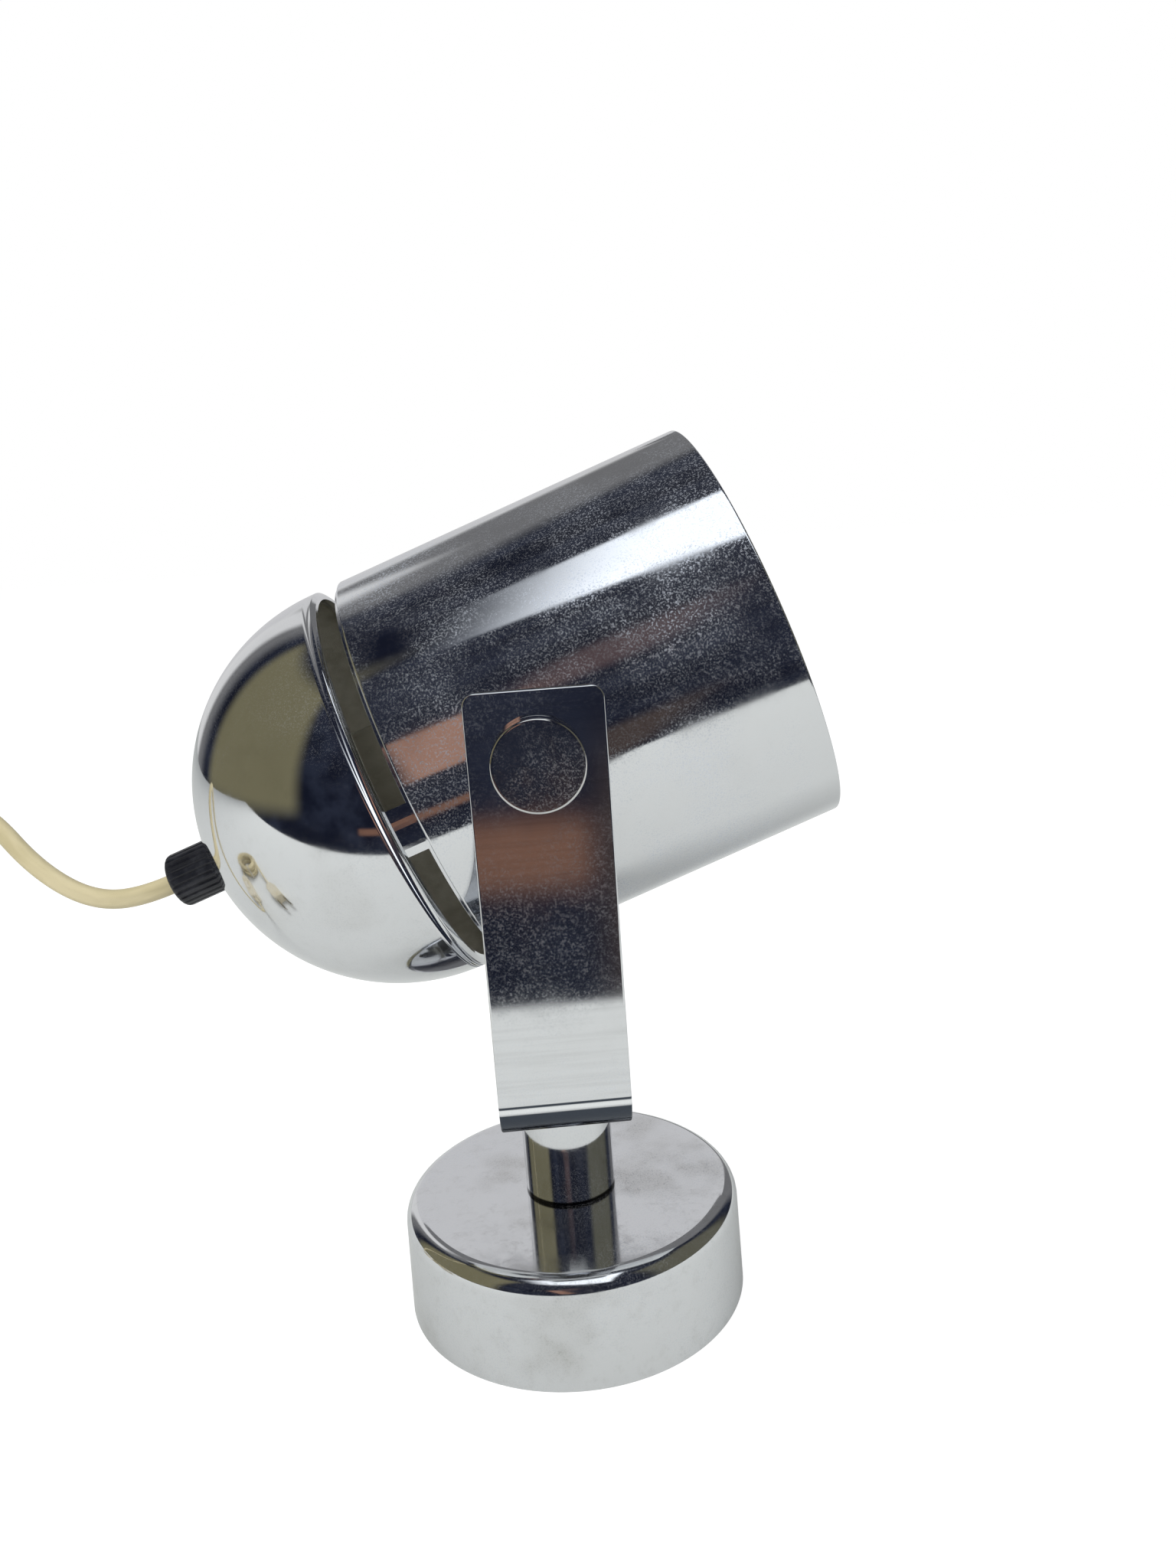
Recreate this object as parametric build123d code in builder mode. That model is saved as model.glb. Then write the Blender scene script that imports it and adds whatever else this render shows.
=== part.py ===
from build123d import *
import math
import os

# Base cup, millimetres
BASE_RADIUS = 40.0
BASE_HEIGHT = 25.7
BASE_TAPER = 0.6
BASE_EDGE_RADIUS = 4.0
BASE_WALL = 1.2
PLATE_THICKNESS = 2.0
PLATE_CLEARANCE = 0.2
PLATE_HOLE_SPACING = 50.0
PLATE_HOLE_RADIUS = 2.25
SCREW_HEAD_ROOM = 5.5
BALLAST_THICKNESS = 12.0
BALLAST_CLEARANCE = 1.2
SPACER_WALL = 3.0

# Stem, its stud and the swivel
STEM_RADIUS = 10.6
STEM_HEIGHT = 36.8
STUD_RADIUS = 4.0
STUD_CLEARANCE = 0.1
STUD_HEAD_RADIUS = 7.5
STUD_GRIP = 14.0
SWIVEL_CLEARANCE = 0.06
FIBRE_WASHER_THICKNESS = 0.8
FIBRE_WASHER_RADIUS = 9.5
SPRING_WASHER_THICKNESS = 0.8
SPRING_WASHER_RADIUS = 6.5
SWIVEL_SCREW_RADIUS = 3.0
SWIVEL_HEAD_RADIUS = 6.8
SWIVEL_HEAD_THICKNESS = 2.0
SWIVEL_HEAD_EDGE_RADIUS = 0.65
SWIVEL_SCREW_GRIP = 12.0
SLOT_WIDTH = 1.2
SLOT_DEPTH = 0.9

# Strap bracket
STRAP_WIDTH = 25.6
STRAP_THICKNESS = 2.0
STRAP_TOP_ABOVE_PIVOT = 13.4
STRAP_CORNER_RADIUS = 2.5
STRAP_BEND_RADIUS = 8.2
LEG_PAST_STEM = 12.4
LEG_CORNER_RADIUS = 6.0

# Head shells
PIVOT_HEIGHT = 137.9
HEAD_TILT = 20.0
HEAD_RADIUS = 44.4
SHEET = 0.9
SHADE_FRONT = 52.1
SHADE_REAR = 25.1
RIM_ROUND = 0.4
BEAD_RADIUS = 0.8
SEAM_GAP = 5.6
DOME_LIP_LENGTH = 1.1
NECK_CLEARANCE = 0.1
NECK_OVERLAP = 8.0
NECK_ROUND = 0.7
SLOT_ARC = 107.0
SLOT_INSET = 0.7
VENT_SLOTS = 3
BRIDGE_BELOW_SIDE = 3.5

# Tilt pivot
KNOB_RADIUS = 8.7
KNOB_THICKNESS = 3.4
KNOB_EDGE_RADIUS = 0.5
PIVOT_GAP = 3.4
PIVOT_SHANK_RADIUS = 3.0
PIVOT_CLEARANCE = 0.06
PIVOT_SPACER_RADIUS = 7.0
SADDLE_CLEARANCE = 0.1
BACKING_RADIUS = 8.0
BACKING_THICKNESS = 1.5
NUT_FLATS = 10.0
NUT_THICKNESS = 4.0
SHANK_PAST_NUT = 0.75

# Cable entry
GLAND_RADIUS = 6.1
GLAND_LENGTH = 11.0
GLAND_RIBS = 24
GLAND_RIB_DEPTH = 0.35
GLAND_EDGE_RADIUS = 1.2
NIPPLE_RADIUS = 4.9
NIPPLE_BORE = 3.0
NIPPLE_IN_GLAND = 8.0
THREAD_CLEARANCE = 0.1
ENTRY_WASHER_RADIUS = 8.0
ENTRY_WASHER_THICKNESS = 1.0
ENTRY_NUT_FLATS = 14.0
ENTRY_NUT_THICKNESS = 3.0
SEAT_CLEARANCE = 0.05

# Lampholder and bulb
HOLDER_RADIUS = 14.0
HOLDER_WALL = 1.5
HOLDER_CAP_LENGTH = 18.0
HOLDER_BOSS_RADIUS = 8.0
HOLDER_BOSS_LENGTH = 7.0
HOLDER_SKIRT_LENGTH = 38.0
HOLDER_LIP = 1.0
CORE_THICKNESS = 9.0
CORE_IN_CAP = 3.0
CORE_CLEARANCE = 0.2
SOCKET_RADIUS = 7.2
SOCKET_WALL = 0.6
SOCKET_LENGTH = 22.0
CONTACT_THICKNESS = 0.8
CONTACT_RADIUS = 3.0
TERMINAL_OFFSET = 7.5
TERMINAL_RADIUS = 1.8
TERMINAL_HEIGHT = 3.0
LEAD_RADIUS = 0.8
BULB_CAP_RADIUS = 6.95
BULB_CAP_LENGTH = 24.0
BULB_INSULATOR_LENGTH = 2.0
BULB_TIP_RADIUS = 2.5
BULB_TIP_LENGTH = 1.0
BULB_RADIUS = 22.5
BULB_CENTRE_PAST_CAP = 29.0
BULB_GLASS = 0.8
BULB_NECK_RADIUS = 6.8
BULB_SHOULDER_RADIUS = 14.0

# Cord, and the switch on it
CORD_DIAMETER = 4.4
CORD_CLEARANCE = 0.1
BEND_SHARE = 0.45
SWITCH_LENGTH = 50.0
SWITCH_WIDTH = 22.0
SWITCH_SPLIT = 6.5
SWITCH_COVER_HEIGHT = 7.0
SWITCH_WALL = 1.6
SWITCH_CORNER_RADIUS = 7.0
SWITCH_EDGE_RADIUS = 1.5
NOZZLE_RADIUS = 4.0
NOZZLE_LENGTH = 7.0
SWITCH_LEAD_LENGTH = 18.0
ROCKER_REACH = 8.0
ROCKER_WIDTH = 9.0
ROCKER_GAP = 0.4
ROCKER_ANGLE = 8.0
ROCKER_PIVOT_DEPTH = 3.2
ROCKER_UNDERSIDE = 0.6
ROCKER_NOSE_DEPTH = 2.9
ROCKER_NOSE_WIDTH = 1.6
ROCKER_HUB_WIDTH = 4.4
ROCKER_PIN_RADIUS = 1.5
ROCKER_PIN_CLEARANCE = 0.06
CHEEK_THICKNESS = 2.0
CHEEK_LENGTH = 6.0
CHEEK_END_LENGTH = 3.0
STRIP_LENGTH = 15.0
STRIP_WIDTH = 5.0
STRIP_HEIGHT = 2.4
STRIP_OFFSET = 11.5
SHELL_SCREW_RADIUS = 1.3
SHELL_SCREW_HEAD = 2.4
SHELL_SCREW_HEAD_HEIGHT = 1.6
SHELL_SCREW_GRIP = 4.0
SHELL_SCREW_ALONG = 20.0
SHELL_SCREW_ACROSS = 6.6
SCREW_POST_WALL = 0.6

# Coil, its tie and the plug
COIL_TURN_GAP = 0.5
COIL_OUTER_TURN = 31.5
COIL_LAYERS = 4
COIL_TURNS_PER_LAYER = 2
COIL_LAST_QUARTERS = 2
TIE_WIDTH = 5.0
TIE_THICKNESS = 0.7
TIE_CLEARANCE = 0.3
TIE_CORNER = 1.2
PLUG_LENGTH = 34.0
PLUG_WIDTH = 26.0
PLUG_HEIGHT = 13.6
PLUG_BACK_WIDTH = 12.0
PLUG_SHOULDER = 10.0
PLUG_NOSE_WIDTH = 24.0
PLUG_CORNER_RADIUS = 2.5
PLUG_EDGE_RADIUS = 1.5
RELIEF_LENGTH = 22.0
RELIEF_RADIUS = 3.1
RELIEF_ROOT_RADIUS = 4.6
PIN_RADIUS = 2.0
PIN_LENGTH = 19.0
PIN_SPACING = 18.6
PIN_SEAT = 8.0
PIN_END_RADIUS = 0.65

# Places that follow from the sizes
CORD_RADIUS = CORD_DIAMETER / 2
BASE_TOP_RADIUS = BASE_RADIUS - BASE_TAPER
STUD_HOLE = STUD_RADIUS + STUD_CLEARANCE
STEM_TOP = BASE_HEIGHT + STEM_HEIGHT
LEG_BOTTOM = STEM_TOP + FIBRE_WASHER_THICKNESS
LEG_TOP = LEG_BOTTOM + STRAP_THICKNESS
SWIVEL_HOLE = SWIVEL_SCREW_RADIUS + SWIVEL_CLEARANCE
STRAP_INNER = HEAD_RADIUS + PIVOT_GAP
STRAP_OUTER = STRAP_INNER + STRAP_THICKNESS
STRAP_TOP = PIVOT_HEIGHT + STRAP_TOP_ABOVE_PIVOT
DOME_LIP = -(SHADE_REAR + SEAM_GAP)
DOME_CENTRE = DOME_LIP - DOME_LIP_LENGTH
DOME_APEX = DOME_CENTRE - HEAD_RADIUS
NECK_RADIUS = HEAD_RADIUS - SHEET - NECK_CLEARANCE
NIPPLE_HOLE = NIPPLE_RADIUS + THREAD_CLEARANCE
COS_TILT = math.cos(math.radians(HEAD_TILT))
SIN_TILT = math.sin(math.radians(HEAD_TILT))

# The upright plane runs its first axis up the stem, the head plane along the shade
UPRIGHT = Plane(origin=(0, 0, 0), x_dir=(0, 0, 1), z_dir=(0, -1, 0))
HEAD = Plane(origin=(0, 0, PIVOT_HEIGHT), x_dir=(COS_TILT, 0, SIN_TILT), z_dir=(0, -1, 0))
CROSS = Plane(origin=HEAD.origin, x_dir=(0, -1, 0), z_dir=(COS_TILT, 0, SIN_TILT))
HEAD_FORWARD = Plane(origin=HEAD.origin, x_dir=(-SIN_TILT, 0, COS_TILT), z_dir=(COS_TILT, 0, SIN_TILT))
STRAP_SIDE = Plane.YZ.offset(-STRAP_WIDTH / 2)

os.makedirs("parts", exist_ok=True)


def turn(outline, plane, rounds=(), mode=Mode.ADD):
    """Turn a closed outline of (along, radius) points about the plane's first axis.

    rounds gives the corners to round off, each with its radius."""
    with BuildSketch(plane, mode=Mode.PRIVATE) as face:
        with BuildLine():
            Polyline(*outline, close=True)
        make_face()
        for corner, size in rounds:
            fillet(face.vertices().sort_by_distance(Vector(*corner))[0], size)
    revolve(face.sketch, axis=Axis(plane.origin, plane.x_dir), mode=mode)


def ring(low, high, inner, outer):
    """Outline of a plain ring between two places along its axis."""
    return [(low, inner), (low, outer), (high, outer), (high, inner)]


def save(piece, label):
    """Name the piece and write its STEP file."""
    piece.part.label = label
    export_step(piece.part, f"parts/{label}.step")


# Base: a spun cup over a screw-down plate, with a cast disc that keeps the lamp on its feet
with BuildPart() as base_cover:
    turn(
        [
            (0, BASE_RADIUS),
            (BASE_HEIGHT, BASE_TOP_RADIUS),
            (BASE_HEIGHT, STUD_HOLE),
            (BASE_HEIGHT - BASE_WALL, STUD_HOLE),
            (BASE_HEIGHT - BASE_WALL, BASE_TOP_RADIUS - BASE_WALL),
            (0, BASE_RADIUS - BASE_WALL),
        ],
        UPRIGHT,
        rounds=[
            ((BASE_HEIGHT, BASE_TOP_RADIUS), BASE_EDGE_RADIUS),
            ((BASE_HEIGHT - BASE_WALL, BASE_TOP_RADIUS - BASE_WALL), BASE_EDGE_RADIUS - BASE_WALL),
        ],
    )
save(base_cover, "base_cover")

PLATE_RADIUS = BASE_RADIUS - BASE_WALL - PLATE_CLEARANCE - BASE_TAPER * PLATE_THICKNESS / BASE_HEIGHT
with BuildPart() as base_plate:
    turn(ring(0, PLATE_THICKNESS, STUD_RADIUS + THREAD_CLEARANCE, PLATE_RADIUS), UPRIGHT)
    with Locations((0, 0, PLATE_THICKNESS)):
        with GridLocations(PLATE_HOLE_SPACING, 0, 2, 1):
            Hole(PLATE_HOLE_RADIUS)
    turn(
        [(0, 0), (0, STUD_HEAD_RADIUS + THREAD_CLEARANCE), (PLATE_THICKNESS, STUD_HOLE), (PLATE_THICKNESS, 0)],
        UPRIGHT,
        mode=Mode.SUBTRACT,
    )
save(base_plate, "base_plate")

BALLAST_TOP = PLATE_THICKNESS + BALLAST_THICKNESS
BALLAST_RADIUS = BASE_TOP_RADIUS - BASE_WALL - BALLAST_CLEARANCE
with BuildPart() as ballast_disc:
    turn(ring(PLATE_THICKNESS, BALLAST_TOP, STUD_HOLE, BALLAST_RADIUS), UPRIGHT)
    with Locations((0, 0, BALLAST_TOP)):
        with GridLocations(PLATE_HOLE_SPACING, 0, 2, 1):
            Hole(SCREW_HEAD_ROOM)
save(ballast_disc, "ballast_disc")

with BuildPart() as base_spacer:
    turn(ring(BALLAST_TOP, BASE_HEIGHT - BASE_WALL, STUD_HOLE, STUD_HOLE + SPACER_WALL), UPRIGHT)
save(base_spacer, "base_spacer")

STUD_TOP = BASE_HEIGHT + STUD_GRIP
with BuildPart() as base_stud:
    turn(
        [
            (0, 0),
            (0, STUD_HEAD_RADIUS),
            (PLATE_THICKNESS, STUD_RADIUS),
            (STUD_TOP, STUD_RADIUS),
            (STUD_TOP, 0),
        ],
        UPRIGHT,
    )
save(base_stud, "base_stud")

# Stem: a turned post on the stud, with the swivel screw in its top
SWIVEL_SCREW_END = STEM_TOP - SWIVEL_SCREW_GRIP
with BuildPart() as stem_post:
    turn(ring(BASE_HEIGHT, STEM_TOP, 0, STEM_RADIUS), UPRIGHT)
    turn(ring(BASE_HEIGHT, STUD_TOP + STUD_CLEARANCE, 0, STUD_HOLE), UPRIGHT, mode=Mode.SUBTRACT)
    turn(
        ring(SWIVEL_SCREW_END - STUD_CLEARANCE, STEM_TOP, 0, SWIVEL_HOLE),
        UPRIGHT,
        mode=Mode.SUBTRACT,
    )
save(stem_post, "stem_post")

with BuildPart() as swivel_washer:
    turn(ring(STEM_TOP, LEG_BOTTOM, SWIVEL_HOLE, FIBRE_WASHER_RADIUS), UPRIGHT)
save(swivel_washer, "swivel_washer")

SWIVEL_HEAD_BOTTOM = LEG_TOP + SPRING_WASHER_THICKNESS
SWIVEL_HEAD_TOP = SWIVEL_HEAD_BOTTOM + SWIVEL_HEAD_THICKNESS
with BuildPart() as swivel_spring_washer:
    turn(ring(LEG_TOP, SWIVEL_HEAD_BOTTOM, SWIVEL_HOLE, SPRING_WASHER_RADIUS), UPRIGHT)
save(swivel_spring_washer, "swivel_spring_washer")

with BuildPart() as swivel_screw:
    turn(
        [
            (SWIVEL_SCREW_END, 0),
            (SWIVEL_SCREW_END, SWIVEL_SCREW_RADIUS),
            (SWIVEL_HEAD_BOTTOM, SWIVEL_SCREW_RADIUS),
            (SWIVEL_HEAD_BOTTOM, SWIVEL_HEAD_RADIUS),
            (SWIVEL_HEAD_TOP, SWIVEL_HEAD_RADIUS),
            (SWIVEL_HEAD_TOP, 0),
        ],
        UPRIGHT,
        rounds=[((SWIVEL_HEAD_TOP, SWIVEL_HEAD_RADIUS), SWIVEL_HEAD_EDGE_RADIUS)],
    )
    with BuildSketch(Plane.XY.offset(SWIVEL_HEAD_TOP)):
        Rectangle(2 * SWIVEL_HEAD_RADIUS, SLOT_WIDTH)
    extrude(amount=-SLOT_DEPTH, mode=Mode.SUBTRACT)
save(swivel_screw, "swivel_screw")

# Bracket: one flat strap, bent at the bottom, with a hole for the pivot and one for the swivel
with BuildPart() as strap_bracket:
    with BuildSketch(STRAP_SIDE) as strap_profile:
        with BuildLine():
            Polyline(
                (-STRAP_OUTER, STRAP_TOP),
                (-STRAP_OUTER, LEG_BOTTOM),
                (LEG_PAST_STEM, LEG_BOTTOM),
                (LEG_PAST_STEM, LEG_TOP),
                (-STRAP_INNER, LEG_TOP),
                (-STRAP_INNER, STRAP_TOP),
                close=True,
            )
        make_face()
        outer_bend = strap_profile.vertices().sort_by_distance(Vector(-STRAP_OUTER, LEG_BOTTOM))[0]
        fillet(outer_bend, STRAP_BEND_RADIUS)
        inner_bend = strap_profile.vertices().sort_by_distance(Vector(-STRAP_INNER, LEG_TOP))[0]
        fillet(inner_bend, STRAP_BEND_RADIUS - STRAP_THICKNESS)
    extrude(amount=STRAP_WIDTH)
    fillet(strap_bracket.edges().filter_by(Axis.Y).group_by(Axis.Z)[-1], STRAP_CORNER_RADIUS)
    fillet(strap_bracket.edges().filter_by(Axis.Z).group_by(Axis.Y)[-1], LEG_CORNER_RADIUS)
    with BuildSketch(HEAD.offset(STRAP_OUTER)):
        Circle(PIVOT_SHANK_RADIUS + PIVOT_CLEARANCE)
    extrude(amount=-STRAP_THICKNESS, mode=Mode.SUBTRACT)
    with Locations((0, 0, LEG_TOP)):
        Hole(SWIVEL_HOLE, depth=STRAP_THICKNESS)
save(strap_bracket, "strap_bracket")

# Shade: a drawn tube with a small bead rolled round its rear edge
INNER_RADIUS = HEAD_RADIUS - SHEET
with BuildPart() as shade_cylinder:
    turn(
        ring(-SHADE_REAR, SHADE_FRONT, INNER_RADIUS, HEAD_RADIUS),
        HEAD,
        rounds=[
            ((SHADE_FRONT, HEAD_RADIUS), RIM_ROUND),
            ((-SHADE_REAR, HEAD_RADIUS), BEAD_RADIUS),
        ],
    )
    with BuildSketch(HEAD.offset(HEAD_RADIUS)):
        Circle(PIVOT_SHANK_RADIUS + PIVOT_CLEARANCE)
    extrude(amount=-HEAD_RADIUS / 2, mode=Mode.SUBTRACT)
save(shade_cylinder, "shade_cylinder")

# Dome: a spun cap whose rim steps in to a neck that pushes into the shade.
# Three vent slots are cut through the neck, and three bridges are left between them.
with BuildPart() as dome_cap:
    with BuildSketch(HEAD) as dome_profile:
        with BuildLine():
            outer_hole = math.sqrt(HEAD_RADIUS**2 - NIPPLE_HOLE**2)
            inner_hole = math.sqrt(INNER_RADIUS**2 - NIPPLE_HOLE**2)
            half = math.sqrt(0.5)
            neck_end = -SHADE_REAR + NECK_OVERLAP
            Polyline(
                (DOME_CENTRE, INNER_RADIUS - SHEET),
                (neck_end, NECK_RADIUS - SHEET),
                (neck_end, NECK_RADIUS),
                (DOME_LIP + NECK_ROUND, NECK_RADIUS),
                (DOME_LIP, HEAD_RADIUS),
                (DOME_CENTRE, HEAD_RADIUS),
            )
            ThreePointArc(
                (DOME_CENTRE, HEAD_RADIUS),
                (DOME_CENTRE - half * HEAD_RADIUS, half * HEAD_RADIUS),
                (DOME_CENTRE - outer_hole, NIPPLE_HOLE),
            )
            Line((DOME_CENTRE - outer_hole, NIPPLE_HOLE), (DOME_CENTRE - inner_hole, NIPPLE_HOLE))
            ThreePointArc(
                (DOME_CENTRE - inner_hole, NIPPLE_HOLE),
                (DOME_CENTRE - half * INNER_RADIUS, half * INNER_RADIUS),
                (DOME_CENTRE, INNER_RADIUS),
            )
            Line((DOME_CENTRE, INNER_RADIUS), (DOME_CENTRE, INNER_RADIUS - SHEET))
        make_face()
    revolve(axis=Axis(HEAD.origin, HEAD.x_dir))
    slot_start = DOME_LIP + SLOT_INSET
    slot_length = SEAM_GAP - 2 * SLOT_INSET
    bridge_arc = 360 / VENT_SLOTS - SLOT_ARC
    with BuildSketch(HEAD_FORWARD.offset(slot_start)):
        for slot in range(VENT_SLOTS):
            start = 90 + BRIDGE_BELOW_SIDE + bridge_arc / 2 + slot * 360 / VENT_SLOTS
            with BuildLine():
                outside = CenterArc((0, 0), HEAD_RADIUS + SHEET, start, SLOT_ARC)
                inside = CenterArc((0, 0), INNER_RADIUS - 4 * SHEET, start, SLOT_ARC)
                Line(outside @ 0, inside @ 0)
                Line(outside @ 1, inside @ 1)
            make_face()
    extrude(amount=slot_length, mode=Mode.SUBTRACT)
save(dome_cap, "dome_cap")

# Tilt pivot: the knob's shank runs through the strap, a saddle spacer and the shade to a nut inside
BACKING_SADDLE = INNER_RADIUS - SADDLE_CLEARANCE
BACKING_FLAT = math.sqrt(BACKING_SADDLE**2 - BACKING_RADIUS**2) - BACKING_THICKNESS / 2
NUT_END = BACKING_FLAT - NUT_THICKNESS
SHANK_END = NUT_END - SHANK_PAST_NUT
PIVOT_HOLE = PIVOT_SHANK_RADIUS + PIVOT_CLEARANCE
with BuildPart() as pivot_knob:
    turn(
        [
            (SHANK_END, 0),
            (SHANK_END, PIVOT_SHANK_RADIUS),
            (STRAP_OUTER, PIVOT_SHANK_RADIUS),
            (STRAP_OUTER, KNOB_RADIUS),
            (STRAP_OUTER + KNOB_THICKNESS, KNOB_RADIUS),
            (STRAP_OUTER + KNOB_THICKNESS, 0),
        ],
        CROSS,
        rounds=[((STRAP_OUTER + KNOB_THICKNESS, KNOB_RADIUS), KNOB_EDGE_RADIUS)],
    )
save(pivot_knob, "pivot_knob")

with BuildPart() as pivot_spacer:
    turn(ring(HEAD_RADIUS - SHEET, STRAP_INNER, PIVOT_HOLE, PIVOT_SPACER_RADIUS), CROSS)
    turn(ring(-SHADE_REAR, SHADE_REAR, 0, HEAD_RADIUS + SADDLE_CLEARANCE), HEAD, mode=Mode.SUBTRACT)
save(pivot_spacer, "pivot_spacer")

with BuildPart() as pivot_backing:
    turn(ring(BACKING_FLAT, INNER_RADIUS, PIVOT_HOLE, BACKING_RADIUS), CROSS)
    turn(ring(-SHADE_REAR, SHADE_REAR, 0, BACKING_SADDLE), HEAD, mode=Mode.INTERSECT)
save(pivot_backing, "pivot_backing")

with BuildPart() as pivot_nut:
    with BuildSketch(HEAD.offset(NUT_END)):
        RegularPolygon(NUT_FLATS / 2, 6, major_radius=False)
        Circle(PIVOT_SHANK_RADIUS + THREAD_CLEARANCE, mode=Mode.SUBTRACT)
    extrude(amount=NUT_THICKNESS)
save(pivot_nut, "pivot_nut")

# Cable entry: a threaded nipple through the dome, a ribbed gland outside, a nut inside
GLAND_SEAT = DOME_CENTRE - math.sqrt(HEAD_RADIUS**2 - NIPPLE_HOLE**2) - SEAT_CLEARANCE
GLAND_END = DOME_APEX - GLAND_LENGTH
NIPPLE_OUTER_END = DOME_APEX - NIPPLE_IN_GLAND
CORD_HOLE = CORD_RADIUS + CORD_CLEARANCE
with BuildPart() as cable_gland:
    turn(
        [
            (GLAND_SEAT, NIPPLE_HOLE),
            (GLAND_SEAT, GLAND_RADIUS),
            (GLAND_END, GLAND_RADIUS),
            (GLAND_END, CORD_HOLE),
            (NIPPLE_OUTER_END - THREAD_CLEARANCE, CORD_HOLE),
            (NIPPLE_OUTER_END - THREAD_CLEARANCE, NIPPLE_HOLE),
        ],
        HEAD,
        rounds=[((GLAND_END, GLAND_RADIUS), GLAND_EDGE_RADIUS)],
    )
    with BuildSketch(HEAD_FORWARD.offset(GLAND_END)):
        with PolarLocations(GLAND_RADIUS, GLAND_RIBS):
            Circle(GLAND_RIB_DEPTH)
    extrude(amount=GLAND_SEAT - GLAND_END, mode=Mode.SUBTRACT)
save(cable_gland, "cable_gland")

ENTRY_SEAT = DOME_CENTRE - math.sqrt(INNER_RADIUS**2 - ENTRY_WASHER_RADIUS**2) + SEAT_CLEARANCE
ENTRY_NUT_START = ENTRY_SEAT + ENTRY_WASHER_THICKNESS
HOLDER_START = ENTRY_NUT_START + ENTRY_NUT_THICKNESS
BOSS_END = HOLDER_START + HOLDER_BOSS_LENGTH
with BuildPart() as entry_nipple:
    turn(ring(NIPPLE_OUTER_END, BOSS_END, NIPPLE_BORE, NIPPLE_RADIUS), HEAD)
save(entry_nipple, "entry_nipple")

with BuildPart() as entry_washer:
    turn(ring(ENTRY_SEAT, ENTRY_NUT_START, NIPPLE_HOLE, ENTRY_WASHER_RADIUS), HEAD)
save(entry_washer, "entry_washer")

with BuildPart() as entry_nut:
    with BuildSketch(HEAD_FORWARD.offset(ENTRY_NUT_START)):
        RegularPolygon(ENTRY_NUT_FLATS / 2, 6, major_radius=False)
        Circle(NIPPLE_HOLE, mode=Mode.SUBTRACT)
    extrude(amount=ENTRY_NUT_THICKNESS)
save(entry_nut, "entry_nut")

# Lampholder: a moulded cap and skirt round a ceramic core with its brass screw shell
HOLDER_JOINT = HOLDER_START + HOLDER_CAP_LENGTH
HOLDER_INNER = HOLDER_RADIUS - HOLDER_WALL
HOLDER_FLOOR = BOSS_END + 2 * HOLDER_WALL
HOLDER_FRONT = HOLDER_JOINT + HOLDER_SKIRT_LENGTH
with BuildPart() as holder_cap:
    turn(
        [
            (HOLDER_START, NIPPLE_HOLE),
            (HOLDER_START, HOLDER_BOSS_RADIUS),
            (BOSS_END, HOLDER_BOSS_RADIUS),
            (BOSS_END + HOLDER_WALL, HOLDER_RADIUS),
            (HOLDER_JOINT, HOLDER_RADIUS),
            (HOLDER_JOINT, HOLDER_INNER),
            (HOLDER_FLOOR, HOLDER_INNER),
            (HOLDER_FLOOR, NIPPLE_HOLE),
        ],
        HEAD,
        rounds=[((BOSS_END + HOLDER_WALL, HOLDER_RADIUS), HOLDER_WALL)],
    )
save(holder_cap, "holder_cap")

with BuildPart() as holder_skirt:
    turn(
        [
            (HOLDER_JOINT, HOLDER_INNER),
            (HOLDER_JOINT, HOLDER_RADIUS),
            (HOLDER_FRONT, HOLDER_RADIUS),
            (HOLDER_FRONT, HOLDER_INNER - HOLDER_LIP),
            (HOLDER_FRONT - HOLDER_WALL, HOLDER_INNER - HOLDER_LIP),
            (HOLDER_FRONT - HOLDER_WALL, HOLDER_INNER),
        ],
        HEAD,
        rounds=[((HOLDER_FRONT, HOLDER_RADIUS), HOLDER_WALL / 2)],
    )
save(holder_skirt, "holder_skirt")

CORE_BACK = HOLDER_JOINT - CORE_IN_CAP
CORE_FRONT = CORE_BACK + CORE_THICKNESS
with BuildPart() as holder_core:
    turn(ring(CORE_BACK, CORE_FRONT, 0, HOLDER_INNER - CORE_CLEARANCE), HEAD)
save(holder_core, "holder_core")

with BuildPart() as holder_shell:
    turn(ring(CORE_FRONT, CORE_FRONT + SOCKET_LENGTH, SOCKET_RADIUS, SOCKET_RADIUS + SOCKET_WALL), HEAD)
save(holder_shell, "holder_shell")

CONTACT_END = CORE_FRONT + CONTACT_THICKNESS
with BuildPart() as holder_contact:
    turn(ring(CORE_FRONT, CONTACT_END, 0, CONTACT_RADIUS), HEAD)
save(holder_contact, "holder_contact")

with BuildPart() as terminal_screws:
    with BuildSketch(HEAD_FORWARD.offset(CORE_BACK - TERMINAL_HEIGHT)):
        with GridLocations(2 * TERMINAL_OFFSET, 0, 2, 1):
            Circle(TERMINAL_RADIUS)
    extrude(amount=TERMINAL_HEIGHT)
save(terminal_screws, "terminal_screws")

with BuildPart() as cord_inner:
    turn(ring(GLAND_END, BOSS_END, 0, CORD_RADIUS), HEAD)
save(cord_inner, "cord_inner")

LEAD_START = CORD_RADIUS / 2
LEAD_LEVEL = CORE_BACK - TERMINAL_HEIGHT / 2
with BuildPart() as inner_leads:
    for side in (-1, 1):
        with BuildLine(HEAD) as lead_line:
            FilletPolyline(
                (BOSS_END, side * LEAD_START),
                (LEAD_LEVEL, side * LEAD_START),
                (LEAD_LEVEL, side * (TERMINAL_OFFSET - TERMINAL_RADIUS - SEAT_CLEARANCE)),
                radius=2 * LEAD_RADIUS,
            )
        with BuildSketch(Plane(origin=lead_line.line @ 0, z_dir=lead_line.line % 0)):
            Circle(LEAD_RADIUS)
        sweep(path=lead_line.line)
save(inner_leads, "inner_leads")

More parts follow.
